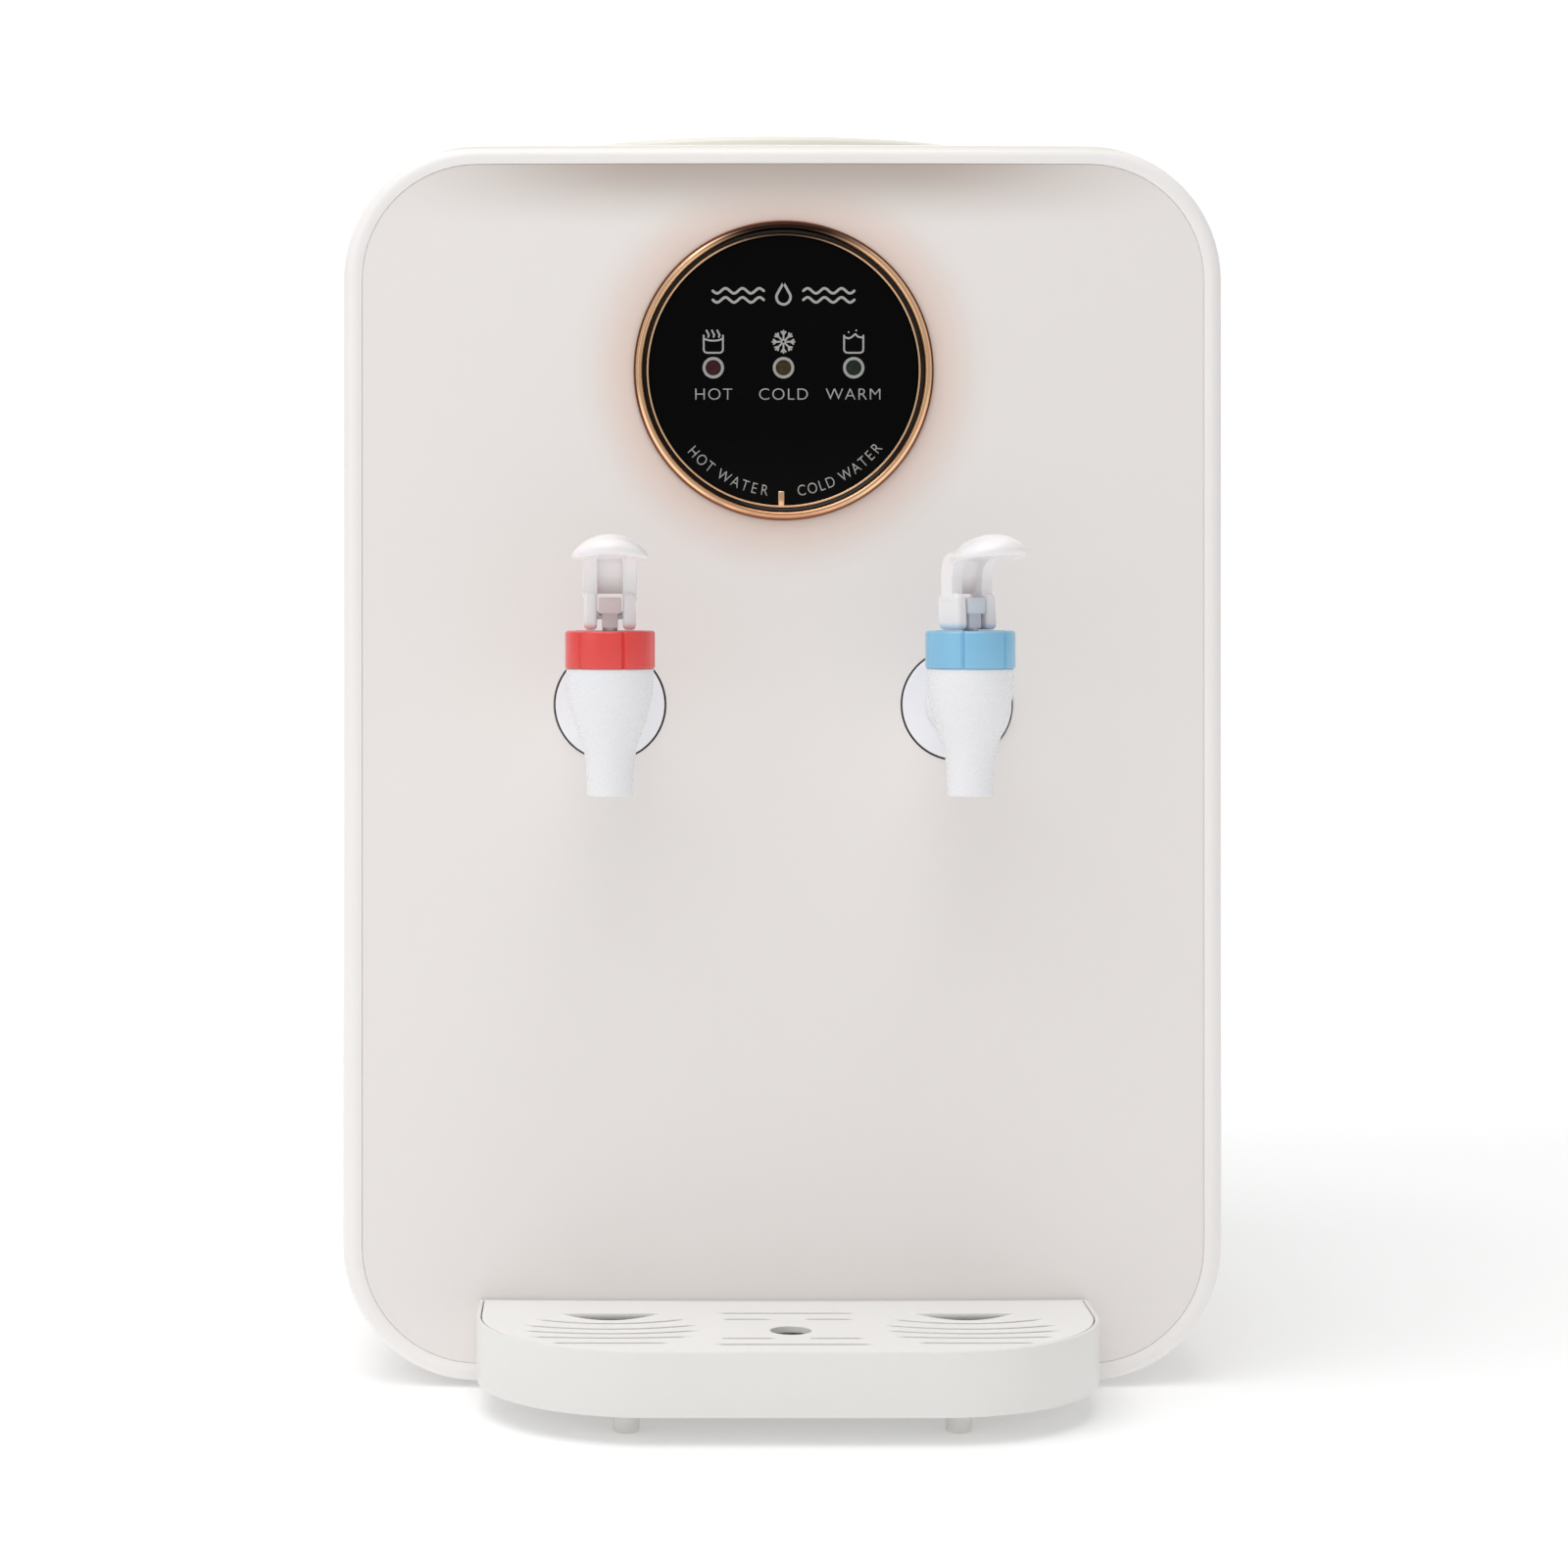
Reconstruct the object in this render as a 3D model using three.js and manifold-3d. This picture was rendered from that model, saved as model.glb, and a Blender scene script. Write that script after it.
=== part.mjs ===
// Countertop hot and cold water dispenser, as separate pieces in one frame.
// Millimetres. X to the right, the front faces -Y, Z up from the counter it stands on.

import * as THREE from 'three';
import { mergeVertices } from 'three/addons/utils/BufferGeometryUtils.js';
import Module from 'manifold-3d';

const wasm = await Module();
wasm.setup();

// ---- Driving dimensions ----

const BODY_WIDTH = 313;
const BODY_HEIGHT = 439;
const BODY_DEPTH = 300;
const FOOT_HEIGHT = 1.5;
const CORNER_RADIUS = 48;
const BOW_RADIUS = 2600;        // the front is slightly bowed, as seen from above
const TRAY_REACH = 85;          // tray front, ahead of the panel
const REAR_REACH = 14;          // drain cap, behind the rear cover
const GAP = 0.3;                // clearance between pieces that touch

const FRAME_DEPTH = 26;
const RIM_WIDTH = 6.5;          // visible width of the frame around the panel
const PANEL_THICKNESS = 2.4;
const REAR_COVER_DEPTH = 18;
const WALL = 3;
const SHEET = 2;

const DISPLAY_Z = 360;
const RING_RADIUS = 53;
const GLASS_RADIUS = 48.1;
const LAMP_PITCH = 24.8;

const TAP_X = 61.3;
const TAP_Z = 242;
const TAP_REACH = 46;           // vertical tap axis, ahead of the panel
const COLD_LEVER_TURN = 35;     // degrees, the way the cold lever is left standing
const COLLAR_TOP = 26.7;        // heights in a tap are measured from its arm's axis
const PIN_HEIGHT = 31.9;
const CAM_RISE = 4.5;           // lift per radian of lever travel
const CAM_BASE = PIN_HEIGHT - COLLAR_TOP - GAP;

const TRAY_HALF = 107.5;
const TRAY_CORNER = 60;
const TRAY_BOTTOM = 9.7;
const TRAY_TOP = 31.6;
const TRAY_WALL = 1.5;
const PEG_X = 55.8;
const PEG_REACH = 62;

const SEAT_RADIUS = 100;
const SEAT_BACK = 163;          // seat centre, behind the panel
const SEAT_RISE = 10.7;         // seat rim above the top cover

// ---- Places worked out from them ----

const PANEL_Y = TRAY_REACH - (TRAY_REACH + BODY_DEPTH + REAR_REACH) / 2;
const BACK_Y = PANEL_Y + BODY_DEPTH;
const TOP = FOOT_HEIGHT + BODY_HEIGHT;
const HALF_WIDTH = BODY_WIDTH / 2;
const CORE_Y0 = PANEL_Y + FRAME_DEPTH + GAP;
const CORE_Y1 = BACK_Y - REAR_COVER_DEPTH - GAP;
const SHOULDER = CORNER_RADIUS + 8;
const TAP_Y = PANEL_Y - TAP_REACH;
const SEAT_Y = PANEL_Y + SEAT_BACK;

const bow = (x) => (x * x) / (2 * BOW_RADIUS);
const radians = THREE.MathUtils.degToRad;

// ---- Finishes: colour, roughness, metalness ----

const FINISH = {
  white: [0xe6e1de, 0.35, 0],
  tapWhite: [0xe9e9eb, 0.3, 0],
  trayWhite: [0xeeedeb, 0.35, 0],
  sheet: [0xe4e1df, 0.45, 0.1],
  seat: [0xedeee2, 0.4, 0],
  red: [0xe95c57, 0.35, 0],
  blue: [0x93c8e4, 0.35, 0],
  roseGold: [0xe0b08e, 0.25, 0.9],
  black: [0x0b0b0b, 0.08, 0],
  lampRed: [0x4a1d1c, 0.2, 0],
  lampAmber: [0x4c3c26, 0.2, 0],
  lampGreen: [0x212d24, 0.2, 0],
  rubber: [0x2a2a2a, 0.8, 0],
  silicone: [0xd9d6cf, 0.6, 0],
  steel: [0xb8babd, 0.3, 1],
  aluminium: [0xaeb2b6, 0.4, 0.9],
  foam: [0xe8e6df, 0.95, 0],
  board: [0x1f5a34, 0.6, 0],
  hose: [0xd7dade, 0.5, 0],
  darkPlastic: [0x1c1d1f, 0.5, 0],
};

// ---- Solids ----

function merged(geometry) {
  const bare = geometry.clone();
  bare.deleteAttribute('normal');
  bare.deleteAttribute('uv');
  const joined = mergeVertices(bare, 1e-4);
  const kept = [];
  const source = joined.index.array;
  for (let i = 0; i < source.length; i += 3) {
    const [a, b, c] = [source[i], source[i + 1], source[i + 2]];
    if (a !== b && b !== c && c !== a) kept.push(a, b, c);
  }
  joined.setIndex(kept);
  if (signedVolume(joined) < 0) joined.setIndex(reversed(kept));
  return joined;
}

function reversed(index) {
  const flipped = [];
  for (let i = 0; i < index.length; i += 3) flipped.push(index[i], index[i + 2], index[i + 1]);
  return flipped;
}

function signedVolume(geometry) {
  const corner = [new THREE.Vector3(), new THREE.Vector3(), new THREE.Vector3()];
  const index = geometry.index.array;
  let sum = 0;
  for (let i = 0; i < index.length; i += 3) {
    for (let j = 0; j < 3; j += 1) {
      corner[j].fromBufferAttribute(geometry.attributes.position, index[i + j]);
    }
    sum += corner[0].dot(corner[1].cross(corner[2]));
  }
  return sum / 6;
}

function toManifold(geometry) {
  const mesh = merged(geometry);
  return new wasm.Manifold(new wasm.Mesh({
    numProp: 3,
    vertProperties: new Float32Array(mesh.attributes.position.array),
    triVerts: new Uint32Array(mesh.index.array),
  }));
}

function fromManifold(solid) {
  const mesh = solid.getMesh();
  const geometry = new THREE.BufferGeometry();
  geometry.setAttribute('position', new THREE.BufferAttribute(new Float32Array(mesh.vertProperties), 3));
  geometry.setIndex(Array.from(mesh.triVerts));
  return geometry;
}

function combine(first, rest, operation) {
  let solid = toManifold(first);
  for (const other of rest) solid = solid[operation](toManifold(other));
  return fromManifold(solid);
}

const join = (first, ...rest) => combine(first, rest, 'add');
const cut = (first, ...rest) => combine(first, rest, 'subtract');
const common = (first, ...rest) => combine(first, rest, 'intersect');

function block(x0, x1, y0, y1, z0, z1) {
  const geometry = new THREE.BoxGeometry(x1 - x0, y1 - y0, z1 - z0);
  return geometry.translate((x0 + x1) / 2, (y0 + y1) / 2, (z0 + z1) / 2);
}

// A solid of revolution about Z from [radius, height] points.
function turned(points, segments = 24) {
  const profile = points.map(([r, z]) => new THREE.Vector2(r, z));
  return new THREE.LatheGeometry(profile, segments).rotateX(Math.PI / 2);
}

// The same for a profile that closes on itself away from the axis.
const turnedRing = (points, segments) => turned([...points, points[0]], segments);

function rod(radius, z0, z1, segments = 20) {
  return turned([[0, z0], [radius, z0], [radius, z1], [0, z1]], segments);
}

// Turns a solid that points along +Z to point out of the front, -Y.
const facingFront = (geometry, x, y, z) => geometry.rotateX(Math.PI / 2).translate(x, y, z);

// Turns a solid that points along +Z to point out of the back, +Y.
const facingBack = (geometry, x, y, z) => geometry.rotateX(-Math.PI / 2).translate(x, y, z);

// A shape drawn in X and Y, as a slab between two heights.
function slab(shape, z0, z1, curveSegments = 4) {
  const options = { depth: z1 - z0, bevelEnabled: false, curveSegments };
  return new THREE.ExtrudeGeometry(shape, options).translate(0, 0, z0);
}

// A shape drawn in X and Z, as a plate between two Y values.
function plate(shape, y0, y1, curveSegments = 4) {
  return slab(shape, 0, y1 - y0, curveSegments).rotateX(Math.PI / 2).translate(0, y1, 0);
}

// A shape drawn in Y and Z, as a bar between two X values.
function bar(shape, x0, x1) {
  const turn = new THREE.Matrix4().makeBasis(
    new THREE.Vector3(0, 1, 0), new THREE.Vector3(0, 0, 1), new THREE.Vector3(1, 0, 0));
  return slab(shape, x0, x1).applyMatrix4(turn);
}

function shapeOf(points) {
  return new THREE.Shape(points.map(([a, b]) => new THREE.Vector2(a, b)));
}

function rounded(width, height, radius, centreZ = 0) {
  const [a, b] = [width / 2 - radius, height / 2 - radius];
  const shape = new THREE.Shape();
  shape.absarc(a, centreZ + b, radius, 0, Math.PI / 2);
  shape.absarc(-a, centreZ + b, radius, Math.PI / 2, Math.PI);
  shape.absarc(-a, centreZ - b, radius, Math.PI, 1.5 * Math.PI);
  shape.absarc(a, centreZ - b, radius, 1.5 * Math.PI, 2 * Math.PI);
  return shape;
}

// The housing's front outline, moved in by a distance.
function bodyOutline(inset) {
  const centre = FOOT_HEIGHT + BODY_HEIGHT / 2;
  return rounded(BODY_WIDTH - 2 * inset, BODY_HEIGHT - 2 * inset, CORNER_RADIUS - inset, centre);
}

// A hollow tube along a curve through given points.
function hose(points, outer, inner, steps) {
  const section = new THREE.Shape().absarc(0, 0, outer, 0, 2 * Math.PI);
  section.holes.push(new THREE.Path().absarc(0, 0, inner, 0, 2 * Math.PI, true));
  const path = new THREE.CatmullRomCurve3(points.map((p) => new THREE.Vector3(...p)));
  return new THREE.ExtrudeGeometry(section, { steps, extrudePath: path, curveSegments: 3 });
}

const pieces = new THREE.Group();

function add(name, geometry, finish) {
  const [color, roughness, metalness] = FINISH[finish];
  const material = new THREE.MeshStandardMaterial({ color, roughness, metalness });
  const mesh = new THREE.Mesh(merged(geometry), material);
  mesh.name = name;
  pieces.add(mesh);
  return mesh;
}

// ---- Housing ----

// Points round the frame: the middle of each corner's arc or straight, with the outward direction.
function frameStations() {
  const [a, b] = [HALF_WIDTH - CORNER_RADIUS, BODY_HEIGHT / 2 - CORNER_RADIUS];
  const corners = [[a, b], [-a, b], [-a, -b], [a, -b]];
  const cornerSteps = 7;
  const straightSteps = 4;
  const stations = [];
  corners.forEach(([x, z], corner) => {
    for (let i = 0; i <= cornerSteps; i += 1) {
      const angle = (corner + i / cornerSteps) * (Math.PI / 2);
      stations.push([x, z, Math.cos(angle), Math.sin(angle)]);
    }
    if (corner % 2 === 0) {
      const side = corner === 0 ? 1 : -1;
      for (let i = 1; i < straightSteps; i += 1) {
        stations.push([x * (1 - 2 * i / straightSteps), z, 0, side]);
      }
    }
  });
  return stations;
}

// The frame's cross-section as [distance in from the outline, distance behind the panel plane].
function frameSection() {
  const [crestIn, crestOut, shoulderDepth, steps] = [5, 1.5, 8, 4];
  const section = [[0, FRAME_DEPTH]];
  for (let i = 0; i <= steps; i += 1) {
    const angle = (i / steps) * (Math.PI / 2);
    const rise = (shoulderDepth + crestOut) * Math.sin(angle);
    section.push([crestIn * (1 - Math.cos(angle)), shoulderDepth - rise]);
  }
  const ledge = PANEL_THICKNESS + GAP;
  section.push([RIM_WIDTH, -0.7], [RIM_WIDTH, ledge], [RIM_WIDTH + 4, ledge]);
  section.push([RIM_WIDTH + 4, ledge + 2.5], [WALL, ledge + 2.5], [WALL, FRAME_DEPTH]);
  return section;
}

function frontFrame() {
  const stations = frameStations();
  const section = frameSection();
  const centreZ = FOOT_HEIGHT + BODY_HEIGHT / 2;
  const positions = [];
  const index = [];
  stations.forEach(([x, z, outX, outZ], i) => {
    section.forEach(([inset, depth], j) => {
      const px = x + outX * (CORNER_RADIUS - inset);
      const bend = depth === FRAME_DEPTH ? 0 : bow(px);
      positions.push(px, PANEL_Y + depth + bend, centreZ + z + outZ * (CORNER_RADIUS - inset));
      const here = i * section.length;
      const next = ((i + 1) % stations.length) * section.length;
      const up = (j + 1) % section.length;
      index.push(here + j, here + up, next + up, here + j, next + up, next + j);
    });
  });
  const geometry = new THREE.BufferGeometry();
  geometry.setAttribute('position', new THREE.Float32BufferAttribute(positions, 3));
  geometry.setIndex(index);
  add('front_frame', geometry, 'white');
}

// A plan slice bowed like the front, from one distance behind the panel face to another.
function bowedPlan(halfWidth, near, far) {
  const steps = 8;
  const xs = Array.from({ length: steps + 1 }, (_, i) => halfWidth * ((2 * i) / steps - 1));
  const front = xs.map((x) => [x, PANEL_Y + near + bow(x)]);
  const back = xs.map((x) => [x, PANEL_Y + far + bow(x)]).reverse();
  return shapeOf([...front, ...back]);
}

const TONGUE = { inner: 40, outer: 54, z0: 18, z1: 24 };

function frontPanel() {
  const sheet = slab(bowedPlan(HALF_WIDTH, 0, PANEL_THICKNESS), 0, TOP);
  const outline = plate(bodyOutline(RIM_WIDTH + GAP), PANEL_Y - 10, PANEL_Y + 20);
  const holes = [facingFront(rod(50, -20, 20, 32), 0, PANEL_Y, DISPLAY_Z)];
  for (const side of [-1, 1]) {
    holes.push(facingFront(rod(19.9, -20, 20, 24), side * TAP_X, PANEL_Y, TAP_Z));
    const [a, b] = [side * (TONGUE.inner - 1), side * (TONGUE.outer + 1)].sort((p, q) => p - q);
    holes.push(block(a, b, PANEL_Y - 10, PANEL_Y + 20, TONGUE.z0 - 1, TONGUE.z1 + 1));
  }
  add('front_panel', cut(common(sheet, outline), ...holes), 'white');
}

// The upper or lower part of the housing's cross-section, a sheet bent round two corners.
function arch(edgeZ, faceZ, wall) {
  const up = Math.sign(faceZ - edgeZ);
  const arcZ = faceZ - up * CORNER_RADIUS;
  const a = HALF_WIDTH - CORNER_RADIUS;
  const steps = 7;
  const corner = (side, radius, i) => {
    const angle = (i / steps) * (Math.PI / 2);
    return [side * (a + radius * Math.cos(angle)), arcZ + up * radius * Math.sin(angle)];
  };
  const outer = [[-HALF_WIDTH, edgeZ]];
  const inner = [[HALF_WIDTH - wall, edgeZ]];
  for (let i = 0; i <= steps; i += 1) outer.push(corner(-1, CORNER_RADIUS, i));
  for (let i = steps; i >= 0; i -= 1) outer.push(corner(1, CORNER_RADIUS, i));
  for (let i = 0; i <= steps; i += 1) inner.push(corner(1, CORNER_RADIUS - wall, i));
  for (let i = steps; i >= 0; i -= 1) inner.push(corner(-1, CORNER_RADIUS - wall, i));
  return shapeOf([...outer, [HALF_WIDTH, edgeZ], ...inner, [wall - HALF_WIDTH, edgeZ]]);
}

const SEAT_HOLE = 92;

function topCover() {
  const shell = plate(arch(TOP - SHOULDER, TOP, WALL), CORE_Y0, CORE_Y1);
  const hole = rod(SEAT_HOLE, TOP - 20, TOP + 20, 36).translate(0, SEAT_Y, 0);
  add('top_cover', cut(shell, hole), 'white');
}

function sidePanels() {
  const [z0, z1] = [FOOT_HEIGHT + SHOULDER + GAP, TOP - SHOULDER - GAP];
  add('side_panel_left', block(-HALF_WIDTH, SHEET - HALF_WIDTH, CORE_Y0, CORE_Y1, z0, z1), 'sheet');
  add('side_panel_right', block(HALF_WIDTH - SHEET, HALF_WIDTH, CORE_Y0, CORE_Y1, z0, z1), 'sheet');
}

const HOT_TANK = { y: 40, radius: 42, z0: 62.3, z1: 184 };
const FOOT_PLACES = [[-96, -62], [96, -62], [-96, 145], [96, 145]];

function basePan() {
  const floorTop = FOOT_HEIGHT + WALL;
  const shell = plate(arch(FOOT_HEIGHT + SHOULDER, FOOT_HEIGHT, WALL), CORE_Y0, CORE_Y1);
  const posts = [-90, 30, 150].map((degrees) => {
    const x = 30 * Math.cos(radians(degrees));
    const y = HOT_TANK.y + 30 * Math.sin(radians(degrees));
    return block(x - 5, x + 5, y - 5, y + 5, floorTop - 1, HOT_TANK.z0 - GAP);
  });
  const holes = FOOT_PLACES.map(([x, y]) => rod(4.3, -5, 20, 12).translate(x, y, 0));
  add('base_pan', cut(join(shell, ...posts), ...holes), 'white');
}

function feet() {
  const top = FOOT_HEIGHT - GAP;
  const barb = FOOT_HEIGHT + WALL + GAP;
  const profile = [[0, 0], [9.4, 0], [10, top], [3.9, top], [3.9, barb], [5.6, barb], [4, 8.5], [0, 8.5]];
  const names = ['foot_front_left', 'foot_front_right', 'foot_back_left', 'foot_back_right'];
  FOOT_PLACES.forEach(([x, y], i) => add(names[i], turned(profile, 12).translate(x, y, 0), 'rubber'));
}

// ---- Display ----

function display() {
  const ring = [[RING_RADIUS, 0.3], [RING_RADIUS, 1.4], [52.2, 2.4], [50.6, 2.6], [49.8, 1.6], [48.4, 1.0],
    [48.4, -2.8], [46, -2.8], [46, -8], [49.6, -8], [49.6, 0.3]];
  add('display_ring', facingFront(turnedRing(ring, 28), 0, PANEL_Y, DISPLAY_Z), 'roseGold');

  const lampHoles = [-1, 0, 1].map((column) => rod(2.9, -5, 5, 10).translate(column * LAMP_PITCH, 1, 0));
  const glass = cut(rod(GLASS_RADIUS, -2.5, -0.5, 28), ...lampHoles);
  add('display_glass', facingFront(glass, 0, PANEL_Y, DISPLAY_Z), 'black');

  const lamp = [[0, -9.4], [2.6, -9.4], [2.6, -0.2], [3.8, -0.2], [3.8, 0.5], [2.6, 1.0], [0, 1.4]];
  const lamps = [['lamp_hot', 'lampRed'], ['lamp_cold', 'lampAmber'], ['lamp_warm', 'lampGreen']];
  lamps.forEach(([name, finish], i) => {
    const x = (i - 1) * LAMP_PITCH;
    add(name, facingFront(turned(lamp, 10), x, PANEL_Y, DISPLAY_Z + 1), finish);
  });
  const board = block(-35, 35, PANEL_Y + 9.7, PANEL_Y + 11.3, DISPLAY_Z - 30, DISPLAY_Z + 30);
  add('control_board', board, 'board');
}

// ---- Taps ----
// Built about their own axis: the vertical axis at the origin, the arm's axis at height 0.

const SHANK = { radius: 7.5, end: TAP_REACH + 20 };

function tapBody() {
  const bell = [[0, -29.4], [7.8, -29.4], [8.1, -17.8], [9.2, -12.3], [12, -4.9], [14.1, 3.3],
    [14.8, 11.4], [14.8, 13.6], [12.2, 13.6], [12.2, 20], [0, 20]];
  const bore = [[0, -35], [5.2, -35], [5.2, -13], [5, -12], [9, 3], [9, 25], [0, 25]];
  const arm = facingBack(rod(10, 0, TAP_REACH - 0.7, 14), 0, 0, 0);
  const shank = facingBack(rod(SHANK.radius, 0, SHANK.end, 12), 0, 0, 0);
  const inlet = facingBack(rod(4, 0, SHANK.end + 5, 8), 0, 0, 0);
  return cut(join(turned(bell, 22), arm, shank), turned(bore, 14), inlet);
}

function escutcheon() {
  const bore = SHANK.radius + GAP;
  const section = [[bore, 0.4], [19.3, 0.4], [19.3, -4.2], [23, -4.2], [23, -7.5], [bore, -7.5]];
  return facingFront(turnedRing(section, 18), 0, TAP_REACH, 0);
}

function shankNut() {
  const corners = [0, 60, 120, 180, 240, 300].map((degrees) => radians(degrees));
  const hexagon = shapeOf(corners.map((turn) => [13 * Math.cos(turn), 13 * Math.sin(turn)]));
  hexagon.holes.push(new THREE.Path().absarc(0, 0, SHANK.radius + 1, 0, 2 * Math.PI, true));
  return facingFront(slab(hexagon, -15, -7.8), 0, TAP_REACH, 0);
}

// The screwed ring that holds the lever's swivel down, with six grip grooves.
function collar(grooveDegrees) {
  const outline = [];
  for (let i = 0; i < 6; i += 1) {
    const groove = radians(grooveDegrees - 90 + 60 * i);
    outline.push([14.2 * Math.cos(groove), 14.2 * Math.sin(groove)]);
    for (const step of [4.5, 17, 30, 43, 55.5]) {
      const angle = groove + radians(step);
      outline.push([15.3 * Math.cos(angle), 15.3 * Math.sin(angle)]);
    }
  }
  const body = slab(shapeOf(outline), 13.9, COLLAR_TOP);
  return cut(body, rod(12.6, 10, 23.4, 18), rod(11.7, 10, 30, 18));
}

function swivelWasher() {
  const section = [[2.95, 20.3], [12.2, 20.3], [12.2, 23.1], [11.3, 23.1], [11.3, COLLAR_TOP],
    [2.95, COLLAR_TOP]];
  return turnedRing(section, 18);
}

function stem() {
  const profile = [[0, -4], [5, -4], [5, -2.5], [2.6, -2.5], [2.6, 30], [2.7, 32.2], [4.1, 32.6],
    [4.1, 36.8], [3, 38], [0, 38]];
  const eye = rod(1.6, -10, 10, 8).rotateY(Math.PI / 2).translate(0, 0, PIN_HEIGHT);
  return cut(turned(profile, 10), eye);
}

const seal = () => turned([[0, -11.6], [4.2, -11.4], [5.1, -10], [5.9, -7], [5.9, -4.3], [0, -4.3]], 12);

const crossPin = () => rod(1.25, -8.7, 8.7, 8).rotateY(Math.PI / 2).translate(0, 0, PIN_HEIGHT);

const SPRING = { low: -1.6, high: 19.4, radius: 6.4, wire: 0.6, turns: 4.5 };

class Helix extends THREE.Curve {
  getPoint(t, target = new THREE.Vector3()) {
    const angle = 2 * Math.PI * SPRING.turns * t;
    const z = SPRING.low + (SPRING.high - SPRING.low) * t;
    return target.set(SPRING.radius * Math.cos(angle), SPRING.radius * Math.sin(angle), z);
  }
}

function returnSpring() {
  const wire = new THREE.Shape().absarc(0, 0, SPRING.wire, 0, 2 * Math.PI);
  return new THREE.ExtrudeGeometry(wire, { steps: 32, extrudePath: new Helix(), curveSegments: 2 });
}

// A cheek and its leg, as [distance ahead of the pin, height above the pin]. The curve under the
// front is the involute that lifts the pin evenly as the lever turns on the collar.
function legSide() {
  const outline = [[-4, -CAM_BASE], [CAM_RISE, -CAM_BASE]];
  for (const degrees of [7, 14, 21, 28]) {
    const turn = radians(degrees);
    const reach = CAM_BASE + CAM_RISE * turn;
    outline.push([
      reach * Math.sin(turn) + CAM_RISE * Math.cos(turn),
      CAM_RISE * Math.sin(turn) - reach * Math.cos(turn)]);
  }
  outline.push([7.4, -1], [5.8, 3.5], [1.2, 7.6], [1.2, 14], [6, 19.4], [-4, 19.4], [-5.2, 14], [-5.2, 8],
    [-7, 4.5], [-7, -2.4]);
  return shapeOf(outline.map(([ahead, height]) => [-ahead, PIN_HEIGHT + height]));
}

// The thumb paddle is a slice of a tube, an arched crescent from the front. It is round in plan
// and rises towards the front.
function paddle() {
  const [crown, underside, halfWidth, drop] = [25.1, 20.4, 13.1, 6];
  const outer = (halfWidth ** 2 + drop ** 2) / (2 * drop);
  const edge = Math.asin(halfWidth / outer);
  const crescent = [];
  const steps = 5;
  for (let i = -steps; i <= steps; i += 1) {
    const angle = (edge * i) / steps;
    crescent.push([outer * Math.sin(angle), crown - outer * (1 - Math.cos(angle))]);
  }
  for (let i = steps; i >= -steps; i -= 1) {
    const x = ((halfWidth - 1.3) * i) / steps;
    crescent.push([x, underside - 2.8 * (i / steps) ** 2]);
  }
  const arched = plate(shapeOf(crescent), -26, 7).rotateX(radians(-7)).translate(0, 0, PIN_HEIGHT);
  return common(arched, rod(13.4, PIN_HEIGHT, PIN_HEIGHT + 40, 20).translate(0, -9.8, 0));
}

function lever() {
  const leg = legSide();
  const web = block(-4.6, 4.6, 3.6, 5.1, PIN_HEIGHT + 7.8, PIN_HEIGHT + 18);
  const pinHole = rod(1.6, -12, 12, 8).rotateY(Math.PI / 2).translate(0, 0, PIN_HEIGHT);
  return cut(join(bar(leg, -9.05, -4.4), bar(leg, 4.4, 9.05), web, paddle()), pinHole);
}

function tap(side, name, colour, grooveDegrees, turnDegrees) {
  const fixed = [
    ['tap_body', tapBody(), 'tapWhite'],
    ['escutcheon', escutcheon(), 'tapWhite'],
    ['shank_nut', shankNut(), 'steel'],
    ['collar', collar(grooveDegrees), colour],
  ];
  const swivelling = [
    ['swivel_washer', swivelWasher(), 'tapWhite'],
    ['stem', stem(), 'tapWhite'],
    ['seal', seal(), 'silicone'],
    ['cross_pin', crossPin(), 'steel'],
    ['return_spring', returnSpring(), 'steel'],
    ['lever', lever(), 'tapWhite'],
  ];
  for (const [part, geometry, finish] of fixed) {
    add(`${name}_${part}`, geometry, finish).position.set(side * TAP_X, TAP_Y, TAP_Z);
  }
  for (const [part, geometry, finish] of swivelling) {
    const mesh = add(`${name}_${part}`, geometry, finish);
    mesh.position.set(side * TAP_X, TAP_Y, TAP_Z);
    mesh.rotation.z = radians(turnDegrees);
  }
}

// ---- Drip tray ----

// The tray in plan, moved in by a distance. Its back follows the bowed panel.
function trayPlan(inset) {
  const side = TRAY_HALF - inset;
  const cornerX = TRAY_HALF - TRAY_CORNER;
  const cornerY = PANEL_Y - (TRAY_REACH - TRAY_CORNER);
  const back = (x) => PANEL_Y + bow(x) - 0.5 - inset;
  const shape = new THREE.Shape();
  shape.moveTo(side, back(side));
  for (const x of [side / 2, 0, -side / 2, -side]) shape.lineTo(x, back(x));
  shape.absarc(-cornerX, cornerY, TRAY_CORNER - inset, Math.PI, 1.5 * Math.PI);
  shape.absarc(cornerX, cornerY, TRAY_CORNER - inset, 1.5 * Math.PI, 2 * Math.PI);
  shape.closePath();
  return shape;
}

const GRILLE_BOTTOM = 29.3;

function dripTray() {
  const ledge = GRILLE_BOTTOM - GAP;
  const added = [];
  for (const side of [-1, 1]) {
    added.push(rod(4.5, 0, TRAY_BOTTOM + 1, 16).translate(side * PEG_X, PANEL_Y - PEG_REACH, 0));
    const [a, b] = [side * TONGUE.inner, side * TONGUE.outer].sort((p, q) => p - q);
    added.push(block(a, b, PANEL_Y - 2, PANEL_Y + 12, TONGUE.z0, TONGUE.z1));
  }
  const tub = join(slab(trayPlan(0), TRAY_BOTTOM, TRAY_TOP, 5), ...added);
  const basin = slab(trayPlan(TRAY_WALL + 1.8), TRAY_BOTTOM + 2, ledge + 1, 5);
  const recess = slab(trayPlan(TRAY_WALL), ledge, TRAY_TOP + 5, 5);
  add('drip_tray', cut(tub, basin, recess), 'trayWhite');
}

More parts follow.
